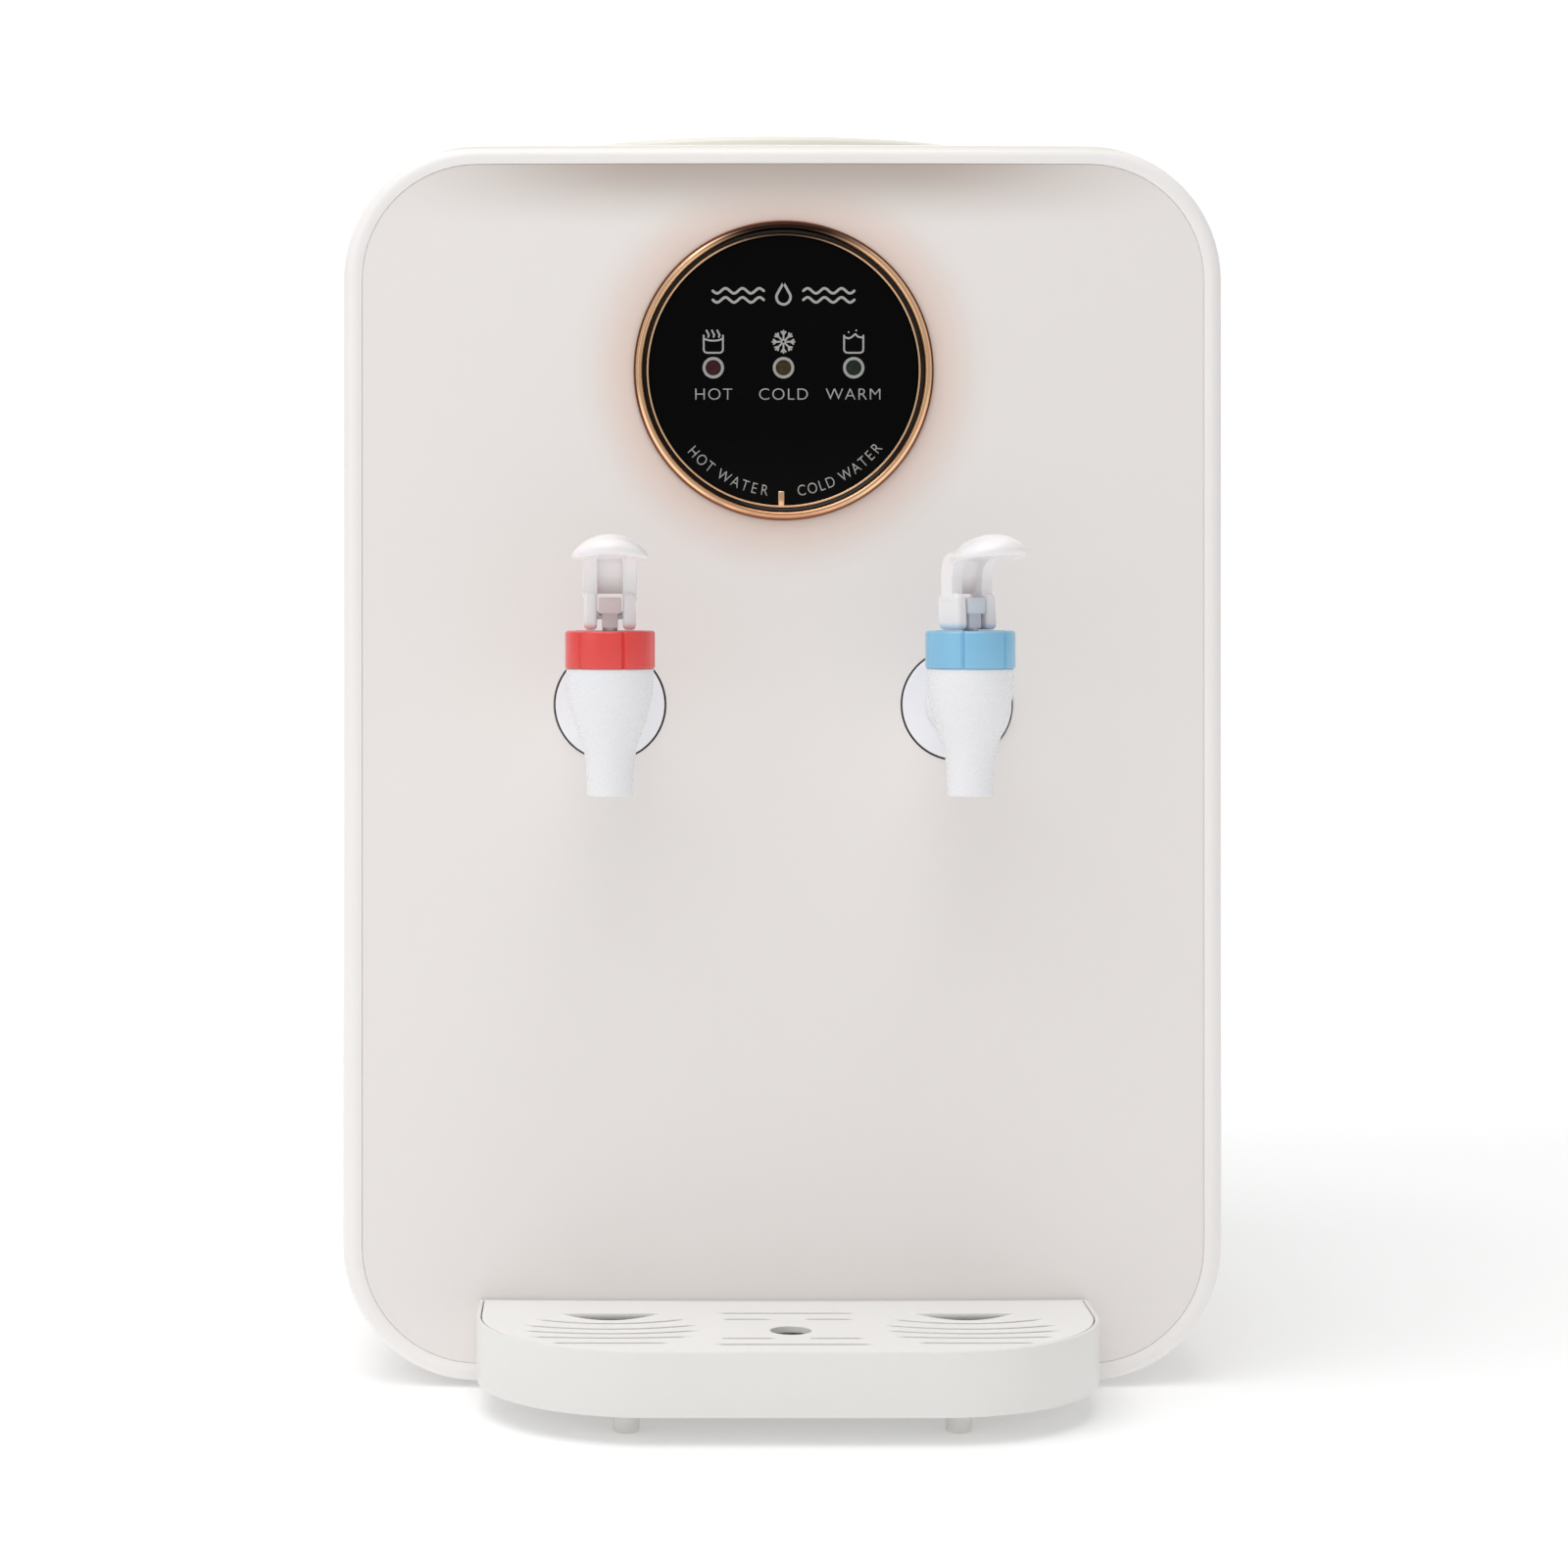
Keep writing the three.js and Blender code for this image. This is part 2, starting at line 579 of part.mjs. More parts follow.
// A slot whose middle lies `sag` further forward than its ends.
function slot(x0, x1, reach, sag, width = 2.4) {
  const steps = sag > 1 ? 4 : 1;
  const edge = (offset) => Array.from({ length: steps + 1 }, (_, i) => {
    const t = (2 * i) / steps - 1;
    return [x0 + ((x1 - x0) * i) / steps, PANEL_Y - (reach - sag * t * t + offset)];
  });
  return shapeOf([...edge(-width / 2), ...edge(width / 2).reverse()]);
}

// The finger opening behind a cup's place: straight at the back, bowed at the front.
function fingerOpening(x) {
  const [half, reach, depth, steps] = [17.5, 22, 11.8, 6];
  return shapeOf(Array.from({ length: steps + 1 }, (_, i) => {
    const t = 1 - (2 * i) / steps;
    return [x + half * t, PANEL_Y - reach - depth * (1 - t * t)];
  }));
}

function dripGrille() {
  const [clusterReach, clusterRadius] = [47, 30.5];
  const rows = [[39.4, 7.7], [48.2, 6.6], [55.6, 5.3], [62.4, 2.2], [70.5, 0.5]];
  const holes = [slot(-24.4, 24.4, 22, 0), slot(-27, 27, 72.5, 0)];
  holes.push(new THREE.Shape().absarc(0, PANEL_Y - 50.5, 7, 0, 2 * Math.PI));
  for (const side of [-1, 1]) {
    const x = side * TAP_X;
    for (const [reach, sag] of rows) {
      const half = Math.sqrt(clusterRadius ** 2 - (reach - sag - clusterReach) ** 2);
      holes.push(slot(x - half, x + half, reach, sag));
    }
    holes.push(fingerOpening(x));
    for (const [near, far, reach] of [[5.6, 22.6, 32], [5.5, 24, 63]]) {
      const [a, b] = [side * near, side * far].sort((p, q) => p - q);
      holes.push(slot(a, b, reach, 0));
    }
  }
  const sheet = slab(trayPlan(TRAY_WALL + 0.4), GRILLE_BOTTOM, TRAY_TOP, 5);
  add('drip_grille', cut(sheet, ...holes.map((hole) => slab(hole, 0, TRAY_TOP + 5))), 'trayWhite');
}

// ---- Bottle seat and cold side ----

const WELL_DEPTH = 65;
const NECK_HOLE = 24;
const COLD_TANK = { radius: 68, z0: 236, z1: 370 };
const FOAM = { radius: 84, z0: 230 };
const SHELF = { z0: 227, z1: 229.7 };

function bottleSeat() {
  const section = [[SEAT_RADIUS, 0.3], [SEAT_RADIUS, 8], [97.8, SEAT_RISE], [93, SEAT_RISE],
    [42, -15], [33, -22], [33, -WELL_DEPTH + 3], [NECK_HOLE, -WELL_DEPTH + 3],
    [NECK_HOLE, -WELL_DEPTH], [36, -WELL_DEPTH], [36, -23.5], [44, -17.6], [88.5, 4.5],
    [88.5, -6], [91.5, -6], [91.5, 0.3]];
  add('bottle_seat', turnedRing(section, 28).translate(0, SEAT_Y, TOP), 'seat');
}

function coldTank() {
  const { radius, z0, z1 } = COLD_TANK;
  const cup = [[0, z0], [radius, z0], [radius, z1], [radius - 2, z1], [radius - 2, z0 + 2], [0, z0 + 2]];
  const outlets = [-25, 25].map((x) => rod(3.5, z0 - 5, z0 + 5, 8).translate(x, 0, 0));
  add('cold_tank', cut(turned(cup, 20), ...outlets).translate(0, SEAT_Y, 0), 'steel');
  const lid = [[NECK_HOLE, z1 + GAP], [radius, z1 + GAP], [radius, z1 + 3], [30, z1 + 3], [30, z1 + 5],
    [NECK_HOLE, z1 + 5]];
  add('cold_tank_lid', turnedRing(lid, 20).translate(0, SEAT_Y, 0), 'trayWhite');

  const foam = turned([[0, FOAM.z0], [FOAM.radius, FOAM.z0], [FOAM.radius, z1], [radius + GAP, z1],
    [radius + GAP, z0 - GAP], [0, z0 - GAP]], 20);
  const hoseHoles = [-25, 25].map((x) => rod(7, 220, 240, 8).translate(x, 0, 0));
  const window = block(-20.5, 20.5, 40, 100, 284.5, 325.5);
  add('tank_foam', cut(foam, window, ...hoseHoles).translate(0, SEAT_Y, 0), 'foam');

  const plug = block(-20, 20, 40, 86, 285, 325);
  add('cold_block', cut(plug, rod(radius + GAP, 200, 400, 20)).translate(0, SEAT_Y, 0), 'aluminium');
}

function tankShelf() {
  const x = HALF_WIDTH - SHEET - GAP;
  const { z0, z1 } = SHELF;
  const low = z0 - 22;
  const section = shapeOf([[-x, low], [-x, z1], [x, z1], [x, low], [x - 1.5, low], [x - 1.5, z0],
    [1.5 - x, z0], [1.5 - x, low]]);
  const holes = [-25, 25].map((hx) => rod(8, 200, 240, 8).translate(hx, SEAT_Y, 0));
  add('tank_shelf', cut(plate(section, -30, 140), ...holes), 'steel');
}

const SINK_Y = SEAT_Y + 86.3;
const FAN_Y = SINK_Y + 29;
const FAN_DEPTH = 15;
const FAN_Z = 305;

function heatSink() {
  const [half, base, finEnd, fins] = [44, 5, 27, 9];
  const outline = [[-half, 0]];
  for (let i = 0; i < fins; i += 1) {
    const x = -half + ((2 * half - SHEET) * i) / (fins - 1);
    outline.push([x, i ? base : finEnd], [x, finEnd], [x + SHEET, finEnd], [x + SHEET, base]);
  }
  outline.splice(1, 1);
  outline[outline.length - 1] = [half, 0];
  const shape = shapeOf(outline);
  add('heat_sink', slab(shape, FAN_Z - 45, FAN_Z + 45).translate(0, SINK_Y, 0), 'aluminium');
}

function fan() {
  const half = 40;
  const opening = plate(rounded(75, 75, 37.4), -1, 20, 3);
  const ring = cut(plate(rounded(2 * half, 2 * half, 5), 0, FAN_DEPTH, 1), opening);
  const motorPlate = plate(rounded(30, 30, 14.9), FAN_DEPTH - 2, FAN_DEPTH, 2);
  const struts = [30, 150, 270].map((degrees) =>
    block(10, 39, FAN_DEPTH - 2, FAN_DEPTH, -2, 2).rotateY(radians(degrees)));
  add('fan_frame', join(ring, motorPlate, ...struts).translate(0, FAN_Y, FAN_Z), 'darkPlastic');

  const hub = plate(rounded(30, 30, 14.9), 1.5, FAN_DEPTH - 2.6, 2);
  const blades = Array.from({ length: 7 }, (_, i) => {
    const blade = block(12, 35.5, -0.7, 0.7, -6, 6).rotateX(radians(55)).translate(0, 6.5, 0);
    return blade.rotateY(radians((360 * i) / 7));
  });
  add('fan_rotor', join(hub, ...blades).translate(0, FAN_Y, FAN_Z), 'darkPlastic');
}

// ---- Hot side and plumbing ----

const FEED_X = -18;

function hotTank() {
  const { y, radius, z0, z1 } = HOT_TANK;
  const section = [[4, z0], [radius - 2, z0], [radius, z0 + 4], [radius, z1 - 8], [radius - 4, z1 - 2],
    [4, z1], [4, z1 - 2], [radius - 6, z1 - 4], [radius - 2, z1 - 9], [radius - 2, z0 + 5],
    [radius - 4, z0 + 2], [4, z0 + 2]];
  const feed = rod(3.5, z1 - 10, z1 + 10, 10).translate(FEED_X, 0, 0);
  add('hot_tank', cut(turnedRing(section, 16), feed).translate(0, y, 0), 'steel');
  const band = [[radius + 0.4, 88], [radius + 2.5, 88], [radius + 2.5, 118], [radius + 0.4, 118]];
  add('heater_band', turnedRing(band, 16).translate(0, y, 0), 'aluminium');
}

function plumbing() {
  const shankEnd = TAP_Y + SHANK.end + GAP;
  const tankBottom = COLD_TANK.z0 - GAP;
  const tankTop = HOT_TANK.z1 + GAP;
  const { y } = HOT_TANK;
  const toTap = (x) => [[x, shankEnd + 12, TAP_Z - 0.5], [x, shankEnd + 2, TAP_Z], [x, shankEnd, TAP_Z]];
  const down = (x) => [[x, SEAT_Y, tankBottom], [x, SEAT_Y, tankBottom - 2]];
  const hot = [[0, y, tankTop], [0, y, tankTop + 2], [-2, y - 4, 198], [-15, 10, 207],
    [-40, -30, 212], [-58, -62, 230], ...toTap(-TAP_X)];
  const cold = [...down(25), [25, SEAT_Y - 1, 224], [28, SEAT_Y - 8, 214], [36, 20, 208],
    [46, -22, 208], [58, -60, 228], ...toTap(TAP_X)];
  const feed = [...down(-25), [-23, y + 6, 212], [FEED_X, y, tankTop + 4], [FEED_X, y, tankTop]];
  const drain = [[0, y, HOT_TANK.z0 - GAP], [0, y, HOT_TANK.z0 - 3], [0, y + 6, 46],
    [0, y + 26, DRAIN_Z + 1], [0, 110, DRAIN_Z], [0, BACK_Y, DRAIN_Z], [0, BACK_Y + 8, DRAIN_Z]];
  add('hot_hose', hose(hot, 5, 3.5, 16), 'hose');
  add('cold_hose', hose(cold, 5, 3.5, 16), 'hose');
  add('feed_hose', hose(feed, 5, 3.5, 8), 'hose');
  add('drain_pipe', hose(drain, 6, 4, 14), 'hose');
}

// ---- Back ----

const DRAIN_Z = 30;
const GLAND_X = -110;
const GLAND_Z = 34;
const SWITCH = { x: 95, z: 372, halfWidth: 19.7, halfHeight: 14.7, pitch: 18 };

function ventSlots(x0, x1, zs) {
  return zs.map((z) => block(x0, x1, BACK_Y - 10, BACK_Y + 5, z - 2.2, z + 2.2));
}

function rearCover() {
  const shell = plate(bodyOutline(0), BACK_Y - REAR_COVER_DEPTH, BACK_Y);
  const hollow = plate(bodyOutline(WALL), BACK_Y - REAR_COVER_DEPTH - 1, BACK_Y - WALL);
  const fanRows = [-35, -25, -15, -5, 5, 15, 25, 35].map((z) => FAN_Z + z);
  const lowRows = [90, 100, 110, 120, 130, 140];
  const holes = [...ventSlots(-36, -2, fanRows), ...ventSlots(2, 36, fanRows),
    ...ventSlots(-90, -50, lowRows), ...ventSlots(50, 90, lowRows)];
  holes.push(facingBack(rod(6.5, -30, 30, 10), 0, BACK_Y, DRAIN_Z));
  holes.push(facingBack(rod(8.5, -30, 30, 12), GLAND_X, BACK_Y, GLAND_Z));
  const [w, h] = [SWITCH.halfWidth + GAP, SWITCH.halfHeight + GAP];
  holes.push(block(SWITCH.x - w, SWITCH.x + w, BACK_Y - 10, BACK_Y + 10, SWITCH.z - h, SWITCH.z + h));
  add('rear_cover', cut(cut(shell, hollow), ...holes), 'white');
}

function switches() {
  const { x, z, halfWidth, halfHeight, pitch } = SWITCH;
  const flange = block(x - 22, x + 22, BACK_Y + GAP, BACK_Y + 2.3, z - 17, z + 17);
  const body = block(x - halfWidth, x + halfWidth, BACK_Y - 12, BACK_Y + 1, z - halfHeight, z + halfHeight);
  const centres = [x - pitch / 2, x + pitch / 2];
  const windows = centres.map((c) => block(c - 7.5, c + 7.5, BACK_Y - 20, BACK_Y + 10, z - 12.3, z + 12.3));
  add('switch_plate', cut(join(flange, body), ...windows), 'darkPlastic');

  const side = shapeOf([[-8, 0], [-3.5, -11], [3, -11.5], [1.4, 0], [3, 11.5], [-3.5, 11]]);
  const rocker = () => bar(side, -7.1, 7.1).rotateX(radians(-12));
  add('hot_rocker', rocker().translate(centres[0], BACK_Y, z), 'red');
  add('cold_rocker', rocker().translate(centres[1], BACK_Y, z), 'blue');
}

function rearFittings() {
  const gland = [[4, -9], [8, -9], [8, -6.3], [10, -6.3], [10, -3.4], [8, -3.4], [8, GAP], [13, GAP],
    [13, 3], [7, 9], [4, 9]];
  add('cord_gland', facingBack(turnedRing(gland, 12), GLAND_X, BACK_Y, GLAND_Z), 'darkPlastic');
  const cap = [[0, 14], [10, 14], [11, 12.5], [11, 1], [6.6, 1], [6.6, 9], [0, 9]];
  add('drain_cap', facingBack(turned(cap, 12), 0, BACK_Y, DRAIN_Z), 'darkPlastic');
  add('power_board', block(-150, -148.4, -50, 60, 80, 180), 'board');
}

frontFrame();
frontPanel();
topCover();
sidePanels();
basePan();
feet();
display();
tap(-1, 'hot', 'red', 14.9, 0);
tap(1, 'cold', 'blue', -9.5, COLD_LEVER_TURN);
dripTray();
dripGrille();
bottleSeat();
coldTank();
tankShelf();
heatSink();
fan();
hotTank();
plumbing();
rearCover();
switches();
rearFittings();

export default pieces;
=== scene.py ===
"""Countertop water dispenser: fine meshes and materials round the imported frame."""
import math

import bmesh
import bpy
from mathutils import Matrix, Vector


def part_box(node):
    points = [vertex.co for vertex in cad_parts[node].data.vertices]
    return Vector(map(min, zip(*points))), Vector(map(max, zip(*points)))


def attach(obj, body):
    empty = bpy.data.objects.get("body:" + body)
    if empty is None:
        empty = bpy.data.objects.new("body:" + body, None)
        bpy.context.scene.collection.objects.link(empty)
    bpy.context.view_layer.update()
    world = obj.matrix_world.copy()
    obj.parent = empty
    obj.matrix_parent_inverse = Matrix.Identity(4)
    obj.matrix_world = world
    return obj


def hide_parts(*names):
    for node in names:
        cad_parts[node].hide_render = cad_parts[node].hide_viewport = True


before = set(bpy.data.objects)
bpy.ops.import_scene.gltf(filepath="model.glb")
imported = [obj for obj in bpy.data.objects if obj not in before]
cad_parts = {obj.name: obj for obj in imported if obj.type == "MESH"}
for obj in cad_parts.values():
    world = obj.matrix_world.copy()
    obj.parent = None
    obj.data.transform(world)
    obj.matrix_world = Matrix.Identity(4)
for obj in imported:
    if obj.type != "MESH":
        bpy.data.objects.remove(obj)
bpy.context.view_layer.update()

MM = 0.001

# ---- Places, in millimetres, from the frame ----


def box_mm(node):
    low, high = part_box(node)
    return Vector(low) / MM, Vector(high) / MM


def middle_mm(node):
    low, high = box_mm(node)
    return (low + high) / 2


BODY_LOW, BODY_HIGH = box_mm("front_frame")
HALF_WIDTH = BODY_HIGH.x
BASE_Z = BODY_LOW.z
TOP_Z = BODY_HIGH.z
BODY_MIDDLE_Z = (BASE_Z + TOP_Z) / 2
PANEL_Y = box_mm("front_panel")[0].y
BACK_Y = box_mm("rear_cover")[1].y
CORE_Y0, CORE_Y1 = (corner.y for corner in box_mm("top_cover"))
DISPLAY = middle_mm("display_ring")
COLLAR_HEIGHT = 26.7
PIN_HEIGHT = 31.9
TAP = {name: middle_mm(name + "_collar") for name in ("hot", "cold")}
TAP_Z = box_mm("hot_collar")[1].z - COLLAR_HEIGHT
TAP_REACH = PANEL_Y - TAP["hot"].y
LEVER_TURN = {"hot": 0.0, "cold": 35.0}
TRAY_LOW, TRAY_HIGH = box_mm("drip_tray")
SEAT = middle_mm("bottle_seat")
SEAT_TOP = box_mm("bottle_seat")[1].z

CORNER_RADIUS = 48.0
BOW_RADIUS = 2600.0
FRAME_DEPTH = 26.0
RIM_WIDTH = 7.3
TRAY_CORNER = 60.0
TRAY_BOTTOM = 9.7
DISPLAY_HOLE = 50.0
TAP_HOLE = 19.9
SEAT_HOLE = 92.0
DRAIN_HOLE = 6.5
GLAND_HOLE = 8.5
STRIP_WIDTH = 6         # the panel's upright strips
SHADE_DEPTH = 24.0      # the painted shade under the frame's top, down the panel
GRILLE_CUT = (25, 40)   # the heights that the grille's cutting tools span
CAMERA_PLACE = (-61.1, PANEL_Y - 1250, 283.2)


def bow(x):
    return x * x / (2 * BOW_RADIUS)


# ---- Outlines and profiles ----


def around(count):
    """Angles evenly round a circle."""
    return [2 * math.pi * k / count for k in range(count)]


def circle(radius, height, count):
    return [(radius * math.cos(a), radius * math.sin(a), height) for a in around(count)]


def rounded_path(points, closed=False, steps=5):
    """Points (a, b) or (a, b, fillet radius) as a path whose filleted corners are arcs."""
    path = []
    last = len(points) - 1
    for i, (a, b, *rest) in enumerate(points):
        radius = rest[0] if rest else 0
        if not radius or (not closed and i in (0, last)):
            path.append((a, b))
            continue
        corner = Vector((a, b))
        before = (Vector(points[i - 1][:2]) - corner).normalized()
        after = (Vector(points[(i + 1) % len(points)][:2]) - corner).normalized()
        half = before.angle(after) / 2
        start = corner + before * (radius / math.tan(half))
        centre = corner + (before + after).normalized() * (radius / math.sin(half))
        first = start - centre
        sweep = math.pi - 2 * half
        if before.x * after.y - before.y * after.x > 0:
            sweep = -sweep
        for k in range(steps + 1):
            turn = sweep * k / steps
            x = first.x * math.cos(turn) - first.y * math.sin(turn)
            y = first.x * math.sin(turn) + first.y * math.cos(turn)
            path.append((centre.x + x, centre.y + y))
    return path


def smooth_path(points, steps=6):
    """A Catmull-Rom curve through the points."""
    ends = [points[0], *points, points[-1]]
    path = []
    for i in range(1, len(ends) - 2):
        p0, p1, p2, p3 = (Vector(p) for p in ends[i - 1:i + 3])
        for k in range(steps):
            t = k / steps
            point = 0.5 * (2 * p1 + (p2 - p0) * t + (2 * p0 - 5 * p1 + 4 * p2 - p3) * t ** 2
                           + (3 * p1 - p0 - 3 * p2 + p3) * t ** 3)
            path.append(tuple(point))
    return path + [tuple(points[-1])]


def body_outline(inset, steps=16):
    """The housing's outline in X and Z, moved in, as the same number of points for every inset."""
    a = HALF_WIDTH - CORNER_RADIUS
    b = (TOP_Z - BASE_Z) / 2 - CORNER_RADIUS
    radius = CORNER_RADIUS - inset
    outline = []
    for corner, (x, z) in enumerate(((a, b), (-a, b), (-a, -b), (a, -b))):
        for i in range(steps + 1):
            angle = (corner + i / steps) * math.pi / 2
            outline.append((x + radius * math.cos(angle), BODY_MIDDLE_Z + z + radius * math.sin(angle)))
        if corner % 2 == 0:
            outline += [(x * (1 - k / 8), BODY_MIDDLE_Z + z + (radius if corner == 0 else -radius))
                        for k in range(1, 16)]
    return outline


def tray_outline(inset, steps=20):
    """The drip tray in plan, moved in. Its back follows the bowed panel."""
    side = TRAY_HIGH.x - inset
    corner_x = TRAY_HIGH.x - TRAY_CORNER
    corner_y = TRAY_LOW.y + TRAY_CORNER
    outline = [(side * (1 - k / 6), PANEL_Y + bow(side * (1 - k / 6)) - 0.5 - inset) for k in range(13)]
    for x, first in ((-corner_x, 180), (corner_x, 270)):
        for i in range(steps + 1):
            angle = math.radians(first + 90 * i / steps)
            outline.append((x + (TRAY_CORNER - inset) * math.cos(angle),
                            corner_y + (TRAY_CORNER - inset) * math.sin(angle)))
    return outline


# ---- Mesh building, in millimetres ----


def new_piece(name, vertices, faces, material):
    mesh = bpy.data.meshes.new(name)
    mesh.from_pydata([Vector(v) * MM for v in vertices], [], faces)
    mesh.materials.append(material)
    piece = bpy.data.objects.new(name, mesh)
    bpy.context.scene.collection.objects.link(piece)
    face_outwards(piece)
    shade(piece, 35)
    return piece


def face_outwards(piece):
    for other in bpy.context.selected_objects:
        other.select_set(False)
    bpy.context.view_layer.objects.active = piece
    piece.select_set(True)
    bpy.ops.object.mode_set(mode="EDIT")
    bpy.ops.mesh.select_all(action="SELECT")
    bpy.ops.mesh.normals_make_consistent(inside=False)
    bpy.ops.object.mode_set(mode="OBJECT")


def shade(piece, smooth):
    piece.data.shade_smooth()
    piece.data.set_sharp_from_angle(angle=math.radians(smooth))


def apply_modifiers(piece):
    depsgraph = bpy.context.evaluated_depsgraph_get()
    mesh = bpy.data.meshes.new_from_object(piece.evaluated_get(depsgraph))
    piece.modifiers.clear()
    piece.data = mesh


def soften(piece, width, segments=3, angle=35):
    """Rounds the sharp edges and evens the shading over the flats."""
    bevel = piece.modifiers.new("bevel", "BEVEL")
    bevel.width = width * MM
    bevel.segments = segments
    bevel.limit_method = "ANGLE"
    bevel.angle_limit = math.radians(angle)
    bevel.use_clamp_overlap = False
    weights = piece.modifiers.new("weights", "WEIGHTED_NORMAL")
    weights.keep_sharp = True
    apply_modifiers(piece)
    shade(piece, 50)
    return piece


def boolean(piece, tool, operation="DIFFERENCE"):
    modifier = piece.modifiers.new("boolean", "BOOLEAN")
    modifier.operation = operation
    modifier.object = tool
    modifier.solver = "EXACT"
    modifier.use_self = True
    apply_modifiers(piece)
    bpy.data.objects.remove(tool)
    return piece


def joined(name, pieces):
    """Several pieces as one object."""
    first = pieces[0]
    with bpy.context.temp_override(active_object=first, selected_editable_objects=pieces):
        bpy.ops.object.join()
    first.name = name
    first.data.name = name
    return first


def lathe(name, profile, material, closed=False, segments=96):
    """A solid of revolution about Z from (radius, height[, fillet]) points."""
    path = rounded_path(profile, closed)
    vertices, rings = [], []
    for radius, height in path:
        if radius < 1e-6:
            rings.append([len(vertices)] * segments)
            vertices.append((0, 0, height))
            continue
        rings.append(list(range(len(vertices), len(vertices) + segments)))
        vertices += circle(radius, height, segments)
    faces = []
    for k in range(len(rings) if closed else len(rings) - 1):
        low, high = rings[k], rings[(k + 1) % len(rings)]
        for i in range(segments):
            j = (i + 1) % segments
            corners = [low[i], low[j], high[j], high[i]]
            faces.append(list(dict.fromkeys(corners)))
    return new_piece(name, vertices, faces, material)


def drill(radius, low, high, material, segments=96):
    """A cylinder that cuts a round hole."""
    return lathe("tool", [(0, low), (radius, low), (radius, high), (0, high)], material, segments=segments)


def loft(name, loops, material, closed=False):
    """A solid through loops of equal length. Its ends are flat faces unless it closes on itself."""
    count = len(loops[0])
    vertices = [point for loop in loops for point in loop]
    faces = []
    for k in range(len(loops) if closed else len(loops) - 1):
        low, high = k * count, ((k + 1) % len(loops)) * count
        faces += [(low + i, low + (i + 1) % count, high + (i + 1) % count, high + i) for i in range(count)]
    if not closed:
        faces += [tuple(range(count)), tuple(range((len(loops) - 1) * count, len(loops) * count))]
    return new_piece(name, vertices, faces, material)


def prism(name, outline, low, high, place, material):
    """An outline between two heights, put in place by place(a, b, height)."""
    return loft(name, [[place(a, b, h) for a, b in outline] for h in (low, high)], material)


def in_plan(a, b, h):
    return (a, b, h)


def in_elevation(a, b, h):
    return (a, h, b)


def from_side(a, b, h):
    return (h, a, b)


def cuboid(name, low, high, material):
    outline = [(low[0], low[1]), (high[0], low[1]), (high[0], high[1]), (low[0], high[1])]
    return prism(name, outline, low[2], high[2], in_plan, material)


FRONTWARDS = Matrix.Rotation(math.radians(90), 4, "X")
BACKWARDS = Matrix.Rotation(math.radians(-90), 4, "X")


def placed(piece, x, y, z, turn=None):
    """Moves the mesh itself, so the object stays at the origin like the frame's own."""
    matrix = Matrix.Translation(Vector((x, y, z)) * MM)
    piece.data.transform(matrix @ turn if turn else matrix)
    return piece


def fixed(piece, body, slot, *nodes):
    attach(piece, body)
    if nodes:
        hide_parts(*nodes)
    return piece


# ---- Materials ----


def link(tree, source, output, target, socket):
    tree.links.new(source.outputs[output], target.inputs[socket])


def material(name, colour, roughness, metallic=0.0, variation=0.03, patch=25.0, spread=0.06, grain=1800.0,
             bump=0.02, stretch=(1, 1, 1), **sockets):
    """Moulded or metal surface: slow colour drift, finer roughness changes and a fine relief."""
    made = bpy.data.materials.new(name)
    made.use_nodes = True
    tree = made.node_tree
    shader = tree.nodes["Principled BSDF"]
    shader.inputs["Metallic"].default_value = metallic
    for socket, value in sockets.items():
        shader.inputs[socket.replace("_", " ")].default_value = value

    where = tree.nodes.new("ShaderNodeTexCoord")
    mapping = tree.nodes.new("ShaderNodeMapping")
    mapping.inputs["Scale"].default_value = stretch
    link(tree, where, "Object", mapping, "Vector")

    drift = tree.nodes.new("ShaderNodeTexNoise")
    drift.inputs["Scale"].default_value = patch
    drift.inputs["Detail"].default_value = 3.0
    link(tree, mapping, "Vector", drift, "Vector")
    ramp = tree.nodes.new("ShaderNodeValToRGB")
    ramp.color_ramp.elements[0].position = 0.3
    ramp.color_ramp.elements[1].position = 0.7
    ramp.color_ramp.elements[0].color = (*(c * (1 - variation) for c in colour), 1)
    ramp.color_ramp.elements[1].color = (*(min(1.0, c * (1 + variation)) for c in colour), 1)
    link(tree, drift, "Fac", ramp, "Fac")
    link(tree, ramp, "Color", shader, "Base Color")

    fine = tree.nodes.new("ShaderNodeTexNoise")
    fine.inputs["Scale"].default_value = grain
    fine.inputs["Detail"].default_value = 2.0
    link(tree, mapping, "Vector", fine, "Vector")
    rough = tree.nodes.new("ShaderNodeMapRange")
    rough.inputs["To Min"].default_value = max(0.02, roughness - spread)
    rough.inputs["To Max"].default_value = roughness + spread
    link(tree, fine, "Fac", rough, "Value")
    link(tree, rough, "Result", shader, "Roughness")
    relief = tree.nodes.new("ShaderNodeBump")
    relief.inputs["Strength"].default_value = bump
    relief.inputs["Distance"].default_value = 0.0004
    link(tree, fine, "Fac", relief, "Height")
    link(tree, relief, "Normal", shader, "Normal")
    return made


def srgb(red, green, blue):
    """A colour from its 0 to 255 display values, in linear light."""
    values = (red / 255, green / 255, blue / 255)
    return tuple(v / 12.92 if v <= 0.04045 else ((v + 0.055) / 1.055) ** 2.4 for v in values)


def faded(tree, source, output, start, end):
    """1 at the start value, falling smoothly to 0 at the end value."""
    fade = tree.nodes.new("ShaderNodeMapRange")
    fade.interpolation_type = "SMOOTHSTEP"
    fade.inputs["From Min"].default_value = start * MM
    fade.inputs["From Max"].default_value = end * MM
    fade.inputs["To Min"].default_value = 1.0
    fade.inputs["To Max"].default_value = 0.0
    link(tree, source, output, fade, "Value")
    return fade


